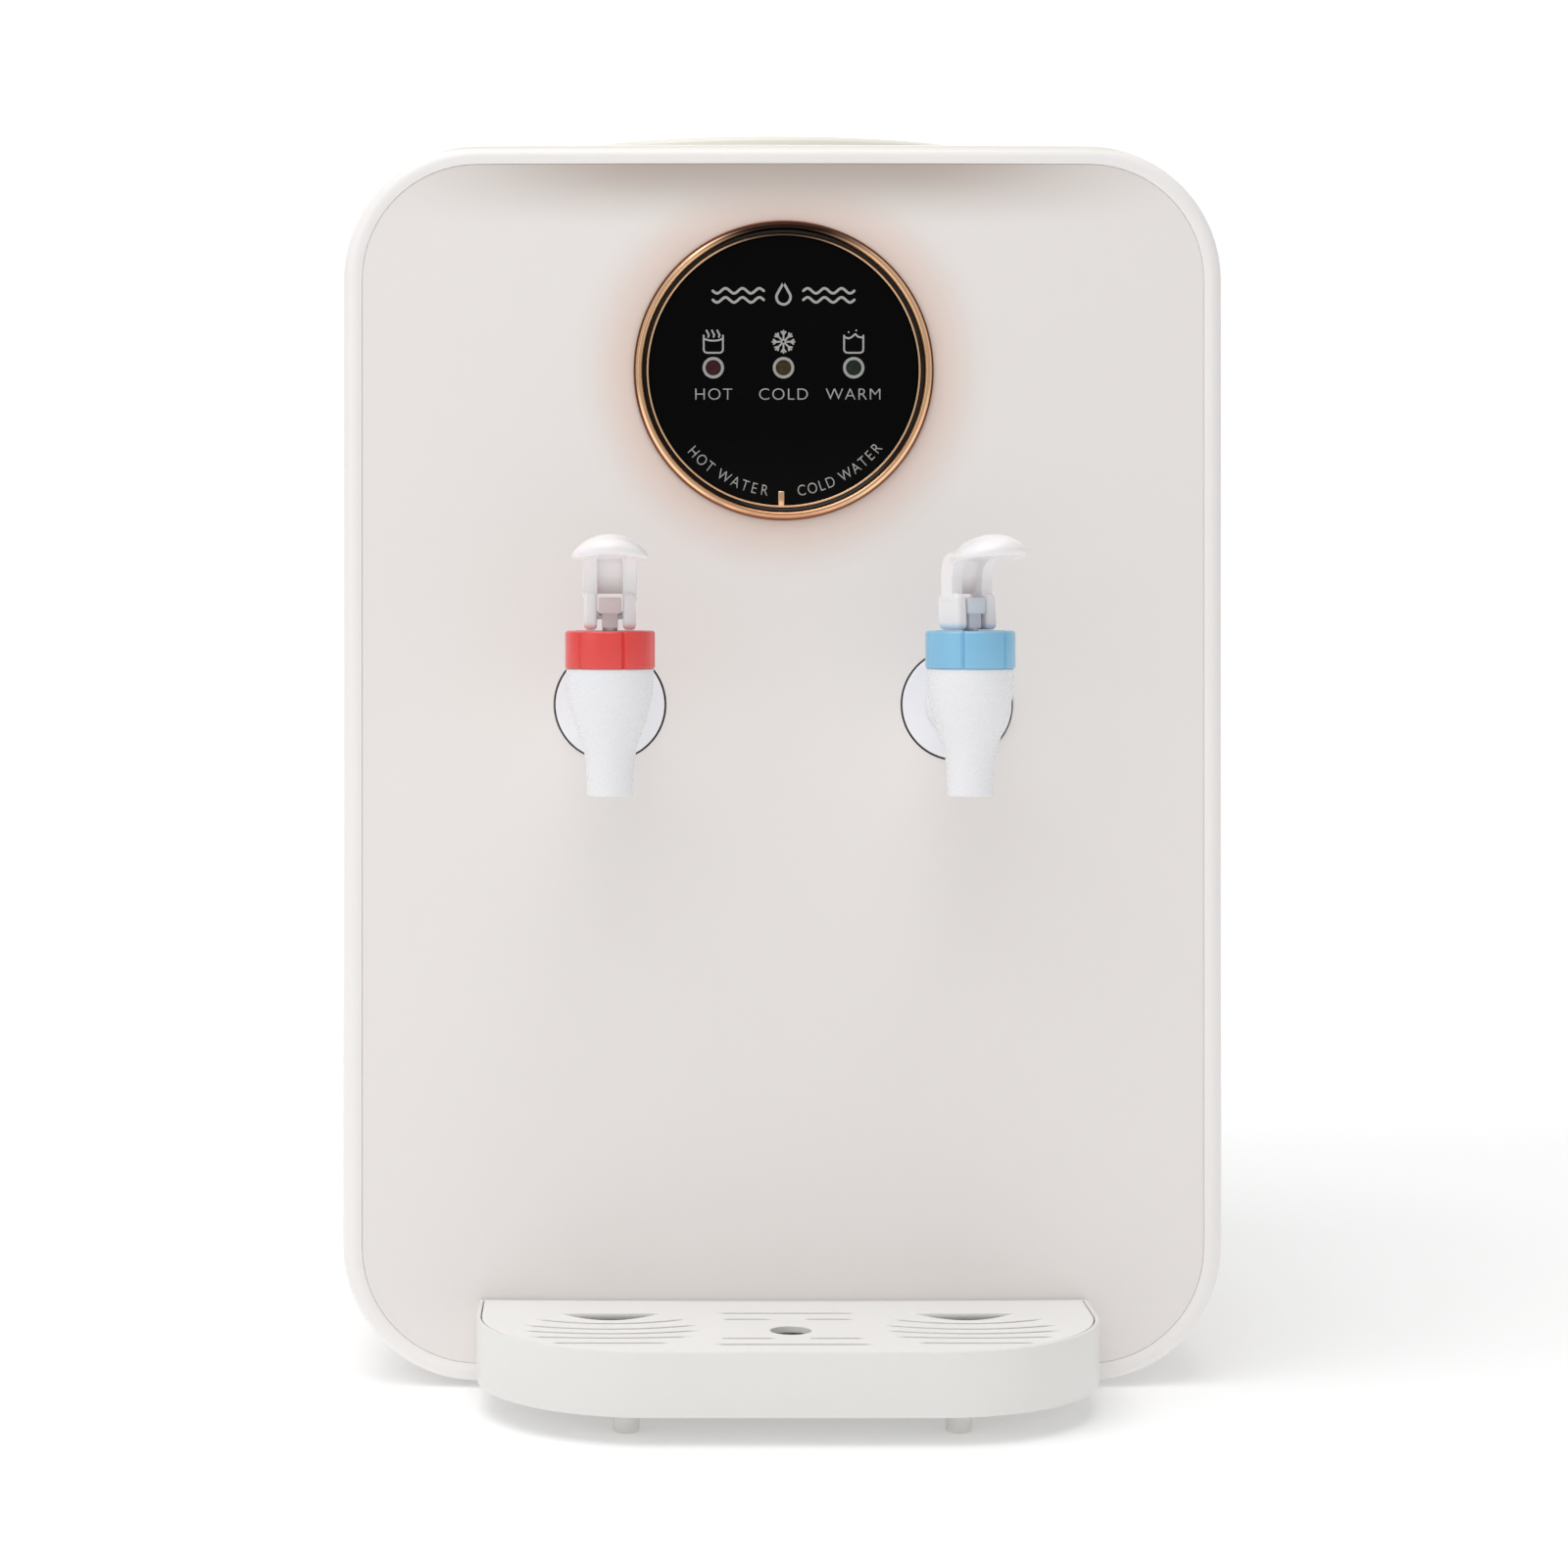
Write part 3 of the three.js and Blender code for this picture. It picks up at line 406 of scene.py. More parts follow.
def times(tree, first, second):
    product = tree.nodes.new("ShaderNodeMath")
    product.operation = "MULTIPLY"
    link(tree, first, 0, product, 0)
    link(tree, second, 0, product, 1)
    return product


def tinted(made, factor, colour):
    """Mixes another colour over a material's own where the factor says."""
    tree = made.node_tree
    shader = tree.nodes["Principled BSDF"]
    base = shader.inputs["Base Color"].links[0].from_socket
    mix = tree.nodes.new("ShaderNodeMix")
    mix.data_type = "RGBA"
    mix.inputs["B"].default_value = (*colour, 1)
    link(tree, factor, 0, mix, "Factor")
    tree.links.new(base, mix.inputs["A"])
    tree.links.new(mix.outputs["Result"], shader.inputs["Base Color"])


def place_parts(tree):
    """The surface's place: its coordinates, and each of them on its own, unsigned in X."""
    where = tree.nodes.new("ShaderNodeTexCoord")
    parts = tree.nodes.new("ShaderNodeSeparateXYZ")
    link(tree, where, "Object", parts, 0)
    across = tree.nodes.new("ShaderNodeMath")
    across.operation = "ABSOLUTE"
    link(tree, parts, "X", across, 0)
    return where, parts, across


def from_display(tree, where):
    """The surface's distance from the display's centre."""
    distance = tree.nodes.new("ShaderNodeVectorMath")
    distance.operation = "DISTANCE"
    distance.inputs[1].default_value = Vector((DISPLAY.x, PANEL_Y, DISPLAY.z)) * MM
    link(tree, where, "Object", distance, 0)
    return distance


def painted_ring_glow_and_top_shade(made, colour, near, far):
    """Painted light by place: the rose gold ring's warm reflected glow painted on the panel round the
    display, and a painted soft shade under the frame's top.
    """
    tree = made.node_tree
    where, parts, across = place_parts(tree)
    tinted(made, faded(tree, from_display(tree, where), "Value", near, far), colour)
    below = faded(tree, parts, "Z", TOP_Z - RIM_WIDTH, TOP_Z - RIM_WIDTH - SHADE_DEPTH)
    middle = faded(tree, across, 0, 40, 156)
    tinted(made, times(tree, below, middle), srgb(190, 177, 168))
    return made


def painted_ring_reflection(made, top, foot, skirt):
    """Painted reflection by place, for the dark a polished ring reflects: upper arc, foot and skirt."""
    tree = made.node_tree
    where, parts, _ = place_parts(tree)
    tinted(made, faded(tree, parts, "Z", DISPLAY.z + 50, DISPLAY.z + 39), top)
    tinted(made, faded(tree, parts, "Z", DISPLAY.z - 56, DISPLAY.z - 42), foot)
    tinted(made, faded(tree, from_display(tree, where), "Value", 52.5, 52.1), skirt)
    return made


def tinged_below(made, colour, low, high):
    """Another colour below the low height, fading out by the high one."""
    tree = made.node_tree
    parts = place_parts(tree)[1]
    tinted(made, faded(tree, parts, "Z", low, high), colour)
    return made


def tinged_above(made, colour, low, high):
    """Another colour above the high height, fading out by the low one."""
    return tinged_below(made, colour, high, low)


def grip_plastic(name, colour):
    return material(name, colour, 0.3, variation=0.02, patch=80.0, bump=0.02, Coat_Weight=0.3,
                    Coat_Roughness=0.15)


def tray_plastic(name, colour):
    return material(name, colour, 0.34, variation=0.006, bump=0.04, Subsurface_Weight=0.05,
                    Subsurface_Scale=0.003)


WHITE_SHELL = material("white_shell", srgb(238, 234, 231), 0.33, variation=0.008, bump=0.03,
                       Coat_Weight=0.15)
# The frame's top edge carries painted shade: a greyer tint over its upper few millimetres.
WHITE_RIM = tinged_above(
    material("white_rim", srgb(247, 244, 242), 0.3, variation=0.006, bump=0.02, Coat_Weight=0.2),
    srgb(233, 229, 222), TOP_Z - 3.8, TOP_Z - 1.4)
# The panel carries painted light: a warm reflected glow round the ring and painted shade under the frame's
# top.
WHITE_PANEL = painted_ring_glow_and_top_shade(
    material("white_panel", srgb(240, 235, 232), 0.38, variation=0.006, patch=6.0, bump=0.03,
             Coat_Weight=0.1),
    srgb(232, 211, 200), 51, 76)
WHITE_SHEET = material("white_powder_coat", srgb(236, 233, 231), 0.45, variation=0.01, grain=900.0,
                       bump=0.12)
WHITE_TAP = material("white_tap", srgb(241, 241, 244), 0.28, variation=0.006, bump=0.015,
                     Subsurface_Weight=0.12,
                     Subsurface_Scale=0.004)
# The levers carry a painted reflection: their collar's coral or sky colour tinted onto their lowest few
# millimetres, just above the collar.
WHITE_LEVER = {
    name: tinged_below(
        material(name + "_white_lever", srgb(245, 243, 244), 0.25, variation=0.008, patch=60.0, bump=0.015,
                 Subsurface_Weight=0.2, Subsurface_Scale=0.004),
        painted_collar_glow, TAP_Z + COLLAR_HEIGHT + 0.4, TAP_Z + COLLAR_HEIGHT + 3)
    for name, painted_collar_glow in (("hot", srgb(240, 170, 168)), ("cold", srgb(172, 208, 236)))
}
# The stems' grey pink and grey blue are painted shade, with their collars' colour reflected into it.
SHADED_STEM = {
    name: material(name + "_stem_shaded_plastic", colour, 0.35, variation=0.01, patch=60.0, bump=0.02)
    for name, colour in (("hot", srgb(226, 210, 210)), ("cold", srgb(222, 227, 236)))
}
PALE_DISC = material("pale_escutcheon", srgb(244, 244, 248), 0.3, variation=0.006, bump=0.015)
# The tub's white is a little darker than the grille's as painted light: the grille's top stands lit from
# above and the tub's front wall in shade.
WHITE_TRAY = tray_plastic("white_tray", srgb(237, 236, 233))
WHITE_GRILLE = tray_plastic("white_grille", srgb(246, 245, 243))
SEAT_CREAM = material("seat_cream", srgb(239, 236, 225), 0.4, variation=0.01, bump=0.04)
CORAL = grip_plastic("coral_plastic", srgb(232, 72, 68))
SKY = grip_plastic("sky_plastic", srgb(134, 195, 229))
# The rose gold carries painted reflection: dark on its upper arc, deeper copper at its foot, brown round its
# skirt.
ROSE_GOLD = painted_ring_reflection(
    material("rose_gold", srgb(255, 208, 165), 0.14, metallic=1.0, variation=0.02, patch=40.0, spread=0.03,
             bump=0.004),
    srgb(46, 30, 24), srgb(222, 158, 120), srgb(132, 84, 64))
BLACK_GLASS = material("black_glass", srgb(5, 5, 5), 0.1, variation=0.1, spread=0.03, bump=0.002,
                       Specular_IOR_Level=0.06)
BLACK_GLOSS = material("black_gloss", srgb(14, 9, 6), 0.16, variation=0.1, spread=0.03, bump=0.004,
                       Specular_IOR_Level=0.2)
PRINT_GREY = material("print_grey", srgb(165, 163, 161), 0.5, variation=0.02, patch=200.0, bump=0.02)
LAMP_RIM = material("lamp_rim", srgb(158, 156, 157), 0.35, variation=0.02, patch=200.0, bump=0.02)
LAMP_SLOT = {"hot": "lamp_red", "cold": "lamp_amber", "warm": "lamp_green"}
LAMP = {
    name: material(LAMP_SLOT[name], srgb(*shown), 0.3, variation=0.35, patch=700.0, bump=0.01,
                   Specular_IOR_Level=0.15)
    for name, shown in (("hot", (58, 26, 27)), ("cold", (62, 47, 28)), ("warm", (30, 42, 33)))
}
RUBBER = material("black_rubber", srgb(38, 38, 38), 0.75, variation=0.08, grain=900.0, bump=0.15)
DARK_PLASTIC = material("dark_plastic", srgb(30, 31, 33), 0.45, variation=0.05, grain=1200.0, bump=0.12)
STEEL = material("plain_steel", srgb(186, 188, 191), 0.28, metallic=1.0, variation=0.04, bump=0.03,
                 stretch=(1, 1, 12))
ALUMINIUM = material("extruded_aluminium", srgb(176, 180, 184), 0.36, metallic=1.0, variation=0.04,
                     bump=0.05,
                     stretch=(1, 1, 0.05))
FOAM = material("moulded_foam", srgb(234, 232, 224), 0.9, variation=0.03, patch=300.0, grain=500.0, bump=0.4)
BOARD = material("circuit_board", srgb(30, 92, 54), 0.4, variation=0.25, patch=250.0, bump=0.05)
HOSE = material("silicone_hose", srgb(222, 226, 231), 0.4, variation=0.02, bump=0.05, Subsurface_Weight=0.3,
                Subsurface_Scale=0.003)
SILICONE = material("silicone_seal", srgb(220, 217, 210), 0.5, variation=0.02, bump=0.06,
                    Subsurface_Weight=0.3,
                    Subsurface_Scale=0.002)


# ---- Housing ----


def frame_moulding():
    """The rounded white frame: its section swept round the body's outline and bowed like the panel."""
    ledge = 2.7
    section = rounded_path([
        (0, FRAME_DEPTH), (0, 8), (0.3, 4.2), (1.2, 1.4), (2.6, 0.0), (4.2, -0.6), (5.8, -0.55),
        (RIM_WIDTH, -0.15),
        (RIM_WIDTH, ledge), (RIM_WIDTH + 4, ledge), (RIM_WIDTH + 4, ledge + 2.5), (3, ledge + 2.5),
        (3, FRAME_DEPTH)])
    head = smooth_path(section[1:8], 4)
    section = section[:1] + head + section[8:]
    loops = []
    for inset, depth in section:
        bend = 0 if depth >= FRAME_DEPTH else 1
        loops.append([(x, PANEL_Y + depth + bend * bow(x), z) for x, z in body_outline(inset)])
    piece = loft("frame_moulding", loops, WHITE_RIM, closed=True)
    shade(piece, 40)
    fixed(piece, "housing", "white_plastic", "front_frame")


def slotted_holes():
    """Cutting tools for everything that passes through the front panel."""
    tools = [placed(drill(DISPLAY_HOLE, -20, 20, WHITE_PANEL, 128), 0, PANEL_Y, DISPLAY.z, FRONTWARDS)]
    for tap in TAP.values():
        tools.append(placed(drill(TAP_HOLE, -20, 20, WHITE_PANEL), tap.x, PANEL_Y, TAP_Z, FRONTWARDS))
    for side in (-1, 1):
        xs = sorted((side * 39, side * 55))
        tools.append(cuboid("tool", (xs[0], PANEL_Y - 20, 17), (xs[1], PANEL_Y + 20, 25), WHITE_PANEL))
    return joined("panel_tools", tools)


def panel_face():
    """The flat panel is pierced, edge-softened, cut into upright strips, then bowed."""
    outline = body_outline(RIM_WIDTH + 0.03, steps=20)
    piece = prism("panel_face", outline, PANEL_Y, PANEL_Y + 2.4, in_elevation, WHITE_PANEL)
    boolean(piece, slotted_holes())
    soften(piece, 0.3)
    bisected(piece, range(-144, 145, STRIP_WIDTH))
    for vertex in piece.data.vertices:
        vertex.co.y += bow(vertex.co.x / MM) * MM
    shade(piece, 40)
    even_front(piece)
    fixed(piece, "housing", "white_plastic", "front_panel")


def even_front(piece):
    """Gives the panel's front the exact normals of its bow, whatever its faces' shapes."""
    mesh = piece.data
    normals = [(0, 0, 0)] * len(mesh.loops)
    for polygon in mesh.polygons:
        if polygon.normal.y > -0.995:
            continue
        for corner in polygon.loop_indices:
            x = mesh.vertices[mesh.loops[corner].vertex_index].co.x
            normals[corner] = Vector((x / (BOW_RADIUS * MM), -1, 0)).normalized()
    mesh.normals_split_custom_set(normals)


def bisected(piece, places):
    """Adds upright edges to a piece at the given places in X, so that it can bend."""
    bpy.context.view_layer.objects.active = piece
    piece.select_set(True)
    bpy.ops.object.mode_set(mode="EDIT")
    for place in places:
        bpy.ops.mesh.select_all(action="SELECT")
        bpy.ops.mesh.bisect(plane_co=(place * MM, 0, 0), plane_no=(1, 0, 0))
    bpy.ops.object.mode_set(mode="OBJECT")


def arch_outline(edge_z, face_z, wall, steps=18):
    """A sheet bent round the two upper or two lower corners, in X and Z."""
    up = 1 if face_z > edge_z else -1
    arc_z = face_z - up * CORNER_RADIUS
    a = HALF_WIDTH - CORNER_RADIUS

    def corner(side, radius, i):
        angle = math.pi / 2 * i / steps
        return (side * (a + radius * math.cos(angle)), arc_z + up * radius * math.sin(angle))

    def both_corners(first_side, radius):
        rise = [corner(first_side, radius, i) for i in range(steps + 1)]
        return rise + [corner(-first_side, radius, i) for i in range(steps, -1, -1)]

    outer = both_corners(-1, CORNER_RADIUS)
    inner = both_corners(1, CORNER_RADIUS - wall)
    edge = [(HALF_WIDTH, edge_z), (HALF_WIDTH - wall, edge_z)]
    return [(-HALF_WIDTH, edge_z), *outer, *edge, *inner, (wall - HALF_WIDTH, edge_z)]


def body_shells():
    shoulder = CORNER_RADIUS + 8
    cover = prism("cover_shell", arch_outline(TOP_Z - shoulder, TOP_Z, 3), CORE_Y0, CORE_Y1, in_elevation,
                  WHITE_SHELL)
    tool = placed(drill(SEAT_HOLE, TOP_Z - 20, TOP_Z + 20, WHITE_SHELL), 0, SEAT.y, 0)
    fixed(soften(boolean(cover, tool), 0.5), "housing", "white_plastic", "top_cover")

    base = prism("base_shell", arch_outline(BASE_Z + shoulder, BASE_Z, 3), CORE_Y0, CORE_Y1, in_elevation,
                 WHITE_SHELL)
    fixed(soften(base, 0.5), "housing", "white_plastic", "base_pan")
    for side in ("left", "right"):
        low, high = box_mm("side_panel_" + side)
        sheet = cuboid("side_sheet_" + side, low, high, WHITE_SHEET)
        fixed(soften(sheet, 0.5), "housing", "white_sheet", "side_panel_" + side)


def vent_slot(x0, x1, z, height=4.4):
    """A cutting tool with round ends."""
    outline = rounded_path([(x0, z - height / 2, height / 2.01), (x1, z - height / 2, height / 2.01),
                            (x1, z + height / 2, height / 2.01), (x0, z + height / 2, height / 2.01)], True,
                            6)
    return prism("tool", outline, BACK_Y - 10, BACK_Y + 10, in_elevation, WHITE_SHELL)


def back_shell():
    fan_z = middle_mm("fan_frame").z
    loops = [[(x, y, z) for x, z in body_outline(inset)] for inset, y in (
        (3, BACK_Y - 3), (3, BACK_Y - 18), (0.3, BACK_Y - 18), (0, BACK_Y - 17.6), (0, BACK_Y - 3),
        (0.4, BACK_Y - 1.5), (1.5, BACK_Y - 0.4), (3, BACK_Y))]
    piece = loft("back_shell", loops, WHITE_SHELL)
    tools = [vent_slot(x0, x1, fan_z + z) for z in range(-35, 36, 10) for x0, x1 in ((-36, -2), (2, 36))]
    tools += [vent_slot(x0, x1, z) for z in range(90, 141, 10) for x0, x1 in ((-90, -50), (50, 90))]
    drain, gland = middle_mm("drain_cap"), middle_mm("cord_gland")
    for centre, radius in ((drain, DRAIN_HOLE), (gland, GLAND_HOLE)):
        tool = drill(radius, -20, 20, WHITE_SHELL, 48)
        tools.append(placed(tool, centre.x, BACK_Y, centre.z, BACKWARDS))
    switch = middle_mm("switch_plate")
    tools.append(cuboid("tool", (switch.x - 20, BACK_Y - 10, switch.z - 15),
                        (switch.x + 20, BACK_Y + 10, switch.z + 15),
                        WHITE_SHELL))
    boolean(piece, joined("back_tools", tools))
    soften(piece, 0.35, segments=2)
    fixed(piece, "housing", "white_plastic", "rear_cover")


def back_screws():
    """Cross-head screws round the rear cover."""
    x, low, high = HALF_WIDTH - 18, BASE_Z + 60, TOP_Z - 60
    places = [(side * x, z) for side in (-1, 1) for z in (low, (low + high) / 2, high)]
    for i, (px, pz) in enumerate(places):
        screw = lathe("back_screw_%d" % i, [(0, 0.1), (3.4, 0.1), (3.4, 0.5), (2.9, 1.3, 0.5), (0, 1.7)],
                      STEEL,
                      segments=40)
        cross = joined("tool", [cuboid("tool", (-2, -0.4, 1.0), (2, 0.4, 3), STEEL),
                                cuboid("tool", (-0.4, -2, 1.0), (0.4, 2, 3), STEEL)])
        boolean(screw, cross)
        shade(screw, 35)
        fixed(placed(screw, px, BACK_Y, pz, BACKWARDS), "housing", "steel")


def feet():
    for place in ("front_left", "front_right", "back_left", "back_right"):
        centre = middle_mm("foot_" + place)
        foot = lathe("pad_" + place, [(0, 0), (9.6, 0, 0.4), (10, 1.2), (3.9, 1.2), (3.9, 4.8), (5.6, 4.8),
                                      (4, 8.5), (0, 8.5)],
                     RUBBER, segments=48)
        fixed(placed(foot, centre.x, centre.y, 0), "housing", "rubber", "foot_" + place)


# ---- Display ----


def display_ring():
    bead = lathe("ring_bead", [(53, 0.35), (53, 0.9, 0.3), (52.35, 0.95), (52.2, 1.7, 0.4), (51.4, 2.5, 0.5),
                               (50.4, 2.4, 0.5), (49.8, 1.4), (49.8, 0.35)],
                 ROSE_GOLD, closed=True, segments=160)
    channel = lathe("ring_channel",
                    [(49.75, 0.35), (49.75, 1.4, 0.2), (48.5, 0.5, 0.2), (48.4, -0.3), (47.6, -0.4),
                                     (47.6, -2.8), (45.5, -2.8), (45.5, -8), (49.4, -8), (49.4, 0.35)],
                    BLACK_GLOSS, closed=True, segments=160)
    lip = lathe("ring_lip", [(48.45, -0.2), (48.45, 0.9, 0.25), (47.7, 0.9, 0.25), (47.7, -0.2)],
                ROSE_GOLD, closed=True, segments=160)
    for piece in (bead, channel, lip):
        placed(piece, DISPLAY.x, PANEL_Y, DISPLAY.z, FRONTWARDS)
    fixed(bead, "housing", "rose_gold", "display_ring")
    fixed(channel, "housing", "black_glass")
    fixed(lip, "housing", "rose_gold")
    tab = soften(cuboid("ring_tab", (-1.9, -47.7, -0.45), (0.3, -42.6, 0.7), ROSE_GOLD), 0.35)
    fixed(placed(tab, DISPLAY.x, PANEL_Y, DISPLAY.z, FRONTWARDS), "housing", "rose_gold")


LAMP_PITCH = 24.8
LAMP_RISE = 1.0
GLASS_FRONT = 0.5      # the glass face, behind the panel plane


def display_glass():
    glass = lathe("glass_face", [(0, -2.5), (47.5, -2.5), (47.5, -GLASS_FRONT, 0.3), (0, -GLASS_FRONT)],
                  BLACK_GLASS, segments=160)
    fixed(placed(glass, DISPLAY.x, PANEL_Y, DISPLAY.z, FRONTWARDS), "housing", "black_glass",
          "display_glass")
    for i, (name, slot) in enumerate(LAMP_SLOT.items()):
        x = (i - 1) * LAMP_PITCH
        rim = lathe("lamp_rim_" + name, [(3.8, -0.5), (3.8, 0.1, 0.25), (2.75, 0.1, 0.25), (2.75, -0.5)],
                    LAMP_RIM,
                    closed=True, segments=48)
        lens = lathe("lamp_lens_" + name, [(0, -0.5), (2.75, -0.5), (2.75, -0.3), (1.5, 0.0), (0, 0.1)],
                     LAMP[name],
                     segments=48)
        for piece in (rim, lens):
            placed(piece, DISPLAY.x + x, PANEL_Y, DISPLAY.z + LAMP_RISE, FRONTWARDS)
        fixed(lens, "housing", slot, "lamp_" + name)
        fixed(rim, "housing", slot)


PRINT_HEIGHT = 0.12


def pen_outline(points, width):
    """The outline of a line drawn with a round pen."""
    half = width / 2
    points = [Vector(p) for p in points]
    if len(points) == 1:
        return [(points[0].x + half * math.cos(a), points[0].y + half * math.sin(a))
                for a in around(12)]
    along = [(b - a).normalized() for a, b in zip(points, points[1:])]
    left, right = [], []
    for i, point in enumerate(points):
        before, after = along[max(i - 1, 0)], along[min(i, len(along) - 1)]
        middle = (before + after).normalized()
        offset = Vector((-middle.y, middle.x)) * half / max(0.5, middle.dot(after))
        left.append(tuple(point + offset))
        right.append(tuple(point - offset))
    return left + pen_end(points[-1], along[-1], half) + right[::-1] + pen_end(points[0], -along[0], half)


def pen_end(point, direction, half, steps=6):
    """The round end of a pen stroke, between its two sides."""
    first = math.atan2(direction.y, direction.x) + math.pi / 2
    angles = [first - math.pi * k / steps for k in range(1, steps)]
    return [(point.x + half * math.cos(a), point.y + half * math.sin(a)) for a in angles]


def cup_strokes():
    cup = rounded_path([(-3.4, 2.2), (-3.4, -3.9, 1.2), (3.4, -3.9, 1.2), (3.4, 2.2)], False, 4)
    return [cup, [(-3.2, 1.0), (-1.6, 0.5), (0, 0.35), (1.6, 0.5), (3.2, 1.0)]]


def steam_strokes():
    wave = [(-0.5, 4.0), (-0.1, 3.2), (0.3, 2.5), (0.1, 1.7)]
    return [[(x + shift, z) for x, z in wave] for shift in (-1.9, 0, 1.9)]


def ripple_strokes():
    wave = [(-3.2, 1.7), (-1.8, 1.2), (-0.4, 1.9), (0.6, 2.7), (1.5, 1.8), (3.2, 1.5)]
    return [[(-1.8, 3.4)], [(0.9, 4.0)], smooth_path(wave, 3)]


def snowflake_strokes():
    arms = []
    for k in range(8):
        turn = Matrix.Rotation(math.radians(45 * k), 2)
        for line in ([(0, 0.7), (0, 3.9)], [(-0.75, 3.5), (0, 2.5), (0.75, 3.5)]):
            arms.append([tuple(turn @ Vector(p)) for p in line])
    return arms


def emblem_strokes():
    """A plain water drop between two rows of ripples."""
    drop = smooth_path([(0, 4.2), (1.5, 1.6), (2.5, -0.6), (1.8, -2.6), (0, -3.4), (-1.8, -2.6),
                        (-2.5, -0.6),
                        (-1.5, 1.6), (0, 4.2)], 4)
    ripples = []
    for side in (-1, 1):
        for z in (-1.8, 1.4):
            ripples.append([(side * (7 + i * 0.5), z + 0.9 * math.sin(i * math.pi / 6)) for i in range(37)])
    return [drop, *ripples]


def drawn(strokes, x, z, width=0.62):
    """Strokes at a place on the display, joined into one raised print."""
    raised = [prism("stroke", pen_outline(line, width), 0, PRINT_HEIGHT, in_plan,
                    PRINT_GREY) for line in strokes]
    print_ = raised[0]
    if len(raised) > 1:
        boolean(print_, joined("tool", raised[1:]), "UNION")
    return placed(print_, x, z, 0)


def word(text, size, width=1.0, thinner=0.07):
    """A raised word in the built-in font, centred, standing on its baseline."""
    curve = bpy.data.curves.new("word", "FONT")
    curve.body = text
    curve.size = size
    curve.align_x = "CENTER"
    curve.space_character = 1.12
    curve.offset = -thinner
    curve.extrude = PRINT_HEIGHT / 2
    made = bpy.data.objects.new("word", curve)
    bpy.context.scene.collection.objects.link(made)
    mesh = bpy.data.meshes.new_from_object(made.evaluated_get(bpy.context.evaluated_depsgraph_get()))
    bpy.data.objects.remove(made)
    raised = new_piece("word", [(v.co.x * width, v.co.y, v.co.z + PRINT_HEIGHT / 2) for v in mesh.vertices],
                       [tuple(p.vertices) for p in mesh.polygons], PRINT_GREY)
    weld(raised)
    return raised


def weld(piece):
    """Merges vertices that lie on each other, so that the surface is closed."""
    made = bmesh.new()
    made.from_mesh(piece.data)
    bmesh.ops.remove_doubles(made, verts=made.verts, dist=1e-7)
    made.to_mesh(piece.data)
    made.free()
    face_outwards(piece)


LETTER_WIDTH = {"W": 1.35, "M": 1.2, "O": 1.1, "C": 1.05, "D": 1.05, "T": 0.85, "L": 0.75, "E": 0.9,
                " ": 0.45}


def curved_word(text, size, radius, first, last):
    """Letters standing on a circle, from one polar angle to another, in degrees."""
    widths = [LETTER_WIDTH.get(letter, 1.0) for letter in text]
    letters, run = [], 0.0
    for letter, width in zip(text, widths):
        angle = first + (last - first) * (run + width / 2) / sum(widths)
        run += width
        if letter == " ":
            continue
        turn = Matrix.Rotation(math.radians(angle + 90), 4, "Z")
        x, y = radius * math.cos(math.radians(angle)), radius * math.sin(math.radians(angle))
        letters.append(placed(word(letter, size, 0.84, 0.04), x, y, 0, turn))
    return letters


def printing():
    """The grey printing on the glass: generic pictures and words only."""
    icon_z, label_z = LAMP_RISE + 9.2, LAMP_RISE - 11.3
    prints = [drawn(emblem_strokes(), 0, 26.8, 0.9)]
    pictures = (cup_strokes() + steam_strokes(), snowflake_strokes(), cup_strokes()[:1] + ripple_strokes())
    for i, (label, picture) in enumerate(zip(("HOT", "COLD", "WARM"), pictures)):
        x = (i - 1) * LAMP_PITCH
        prints.append(drawn(picture, x, icon_z))
        prints.append(placed(word(label, 5.9, 1.03), x, label_z, 0))
    prints += curved_word("HOT WATER", 5.5, 44.6, 219.5, 263.5)
    prints += curved_word("COLD WATER", 5.5, 44.6, 276, 322.5)
    piece = joined("display_print", prints)
    placed(piece, 0, 0, 0.02 - GLASS_FRONT)
    fixed(placed(piece, DISPLAY.x, PANEL_Y, DISPLAY.z, FRONTWARDS), "housing", "black_glass")


# ---- Taps, about their own axis ----


def tap_bell(name):
    flank = smooth_path([(14.8, 11.4), (14.75, 8), (14.1, 3.3), (12.2, -4.4), (9.7, -11.4), (8.6, -16),
                         (8.1, -21),
                         (7.8, -28.9)], 6)
    outside = [(12.2, 20), (12.2, 13.8), (14.8, 13.8, 0.3), (14.9, 12.4, 0.4), *flank[:-1],
               (7.8, -29.4, 0.4)]
    inside = [(5.6, -29.4, 0.3), (5.2, -13), (9, 3), (9, 20)]
    return lathe(name + "_bell", outside + inside, WHITE_TAP, closed=True)


def tap_arm(name):
    arm = lathe(name + "_arm",
                [(0, 10.5), (9.2, 10.5), (9.6, 14), (9.6, TAP_REACH - 3), (11, TAP_REACH - 1.2, 0.6),
                                (11, TAP_REACH - 0.7), (7.5, TAP_REACH - 0.7), (7.5, TAP_REACH + 20),
                                (0, TAP_REACH + 20)],
                WHITE_TAP, segments=64)
    return placed(arm, 0, 0, 0, BACKWARDS)


def escutcheon(name):
    disc = lathe(name + "_disc", [(7.8, 0.5), (19.25, 0.5, 0.5), (19.25, -7.5), (7.8, -7.5)], PALE_DISC,
                 closed=True,
                 segments=128)
    return placed(disc, 0, TAP_REACH, 0, FRONTWARDS)


def gasket_and_gap_shade(name):
    """A dark rubber washer behind the panel, partly real and partly painted shade: its dark stands for the
    shade in the gap and shows as a thin line round the disc.
    """
    washer = lathe(name + "_gasket", [(19.3, -3.0), (23, -3.0), (23, -7.5), (19.3, -7.5)], RUBBER,
                   closed=True,
                   segments=128)
    return placed(washer, 0, TAP_REACH, 0, FRONTWARDS)


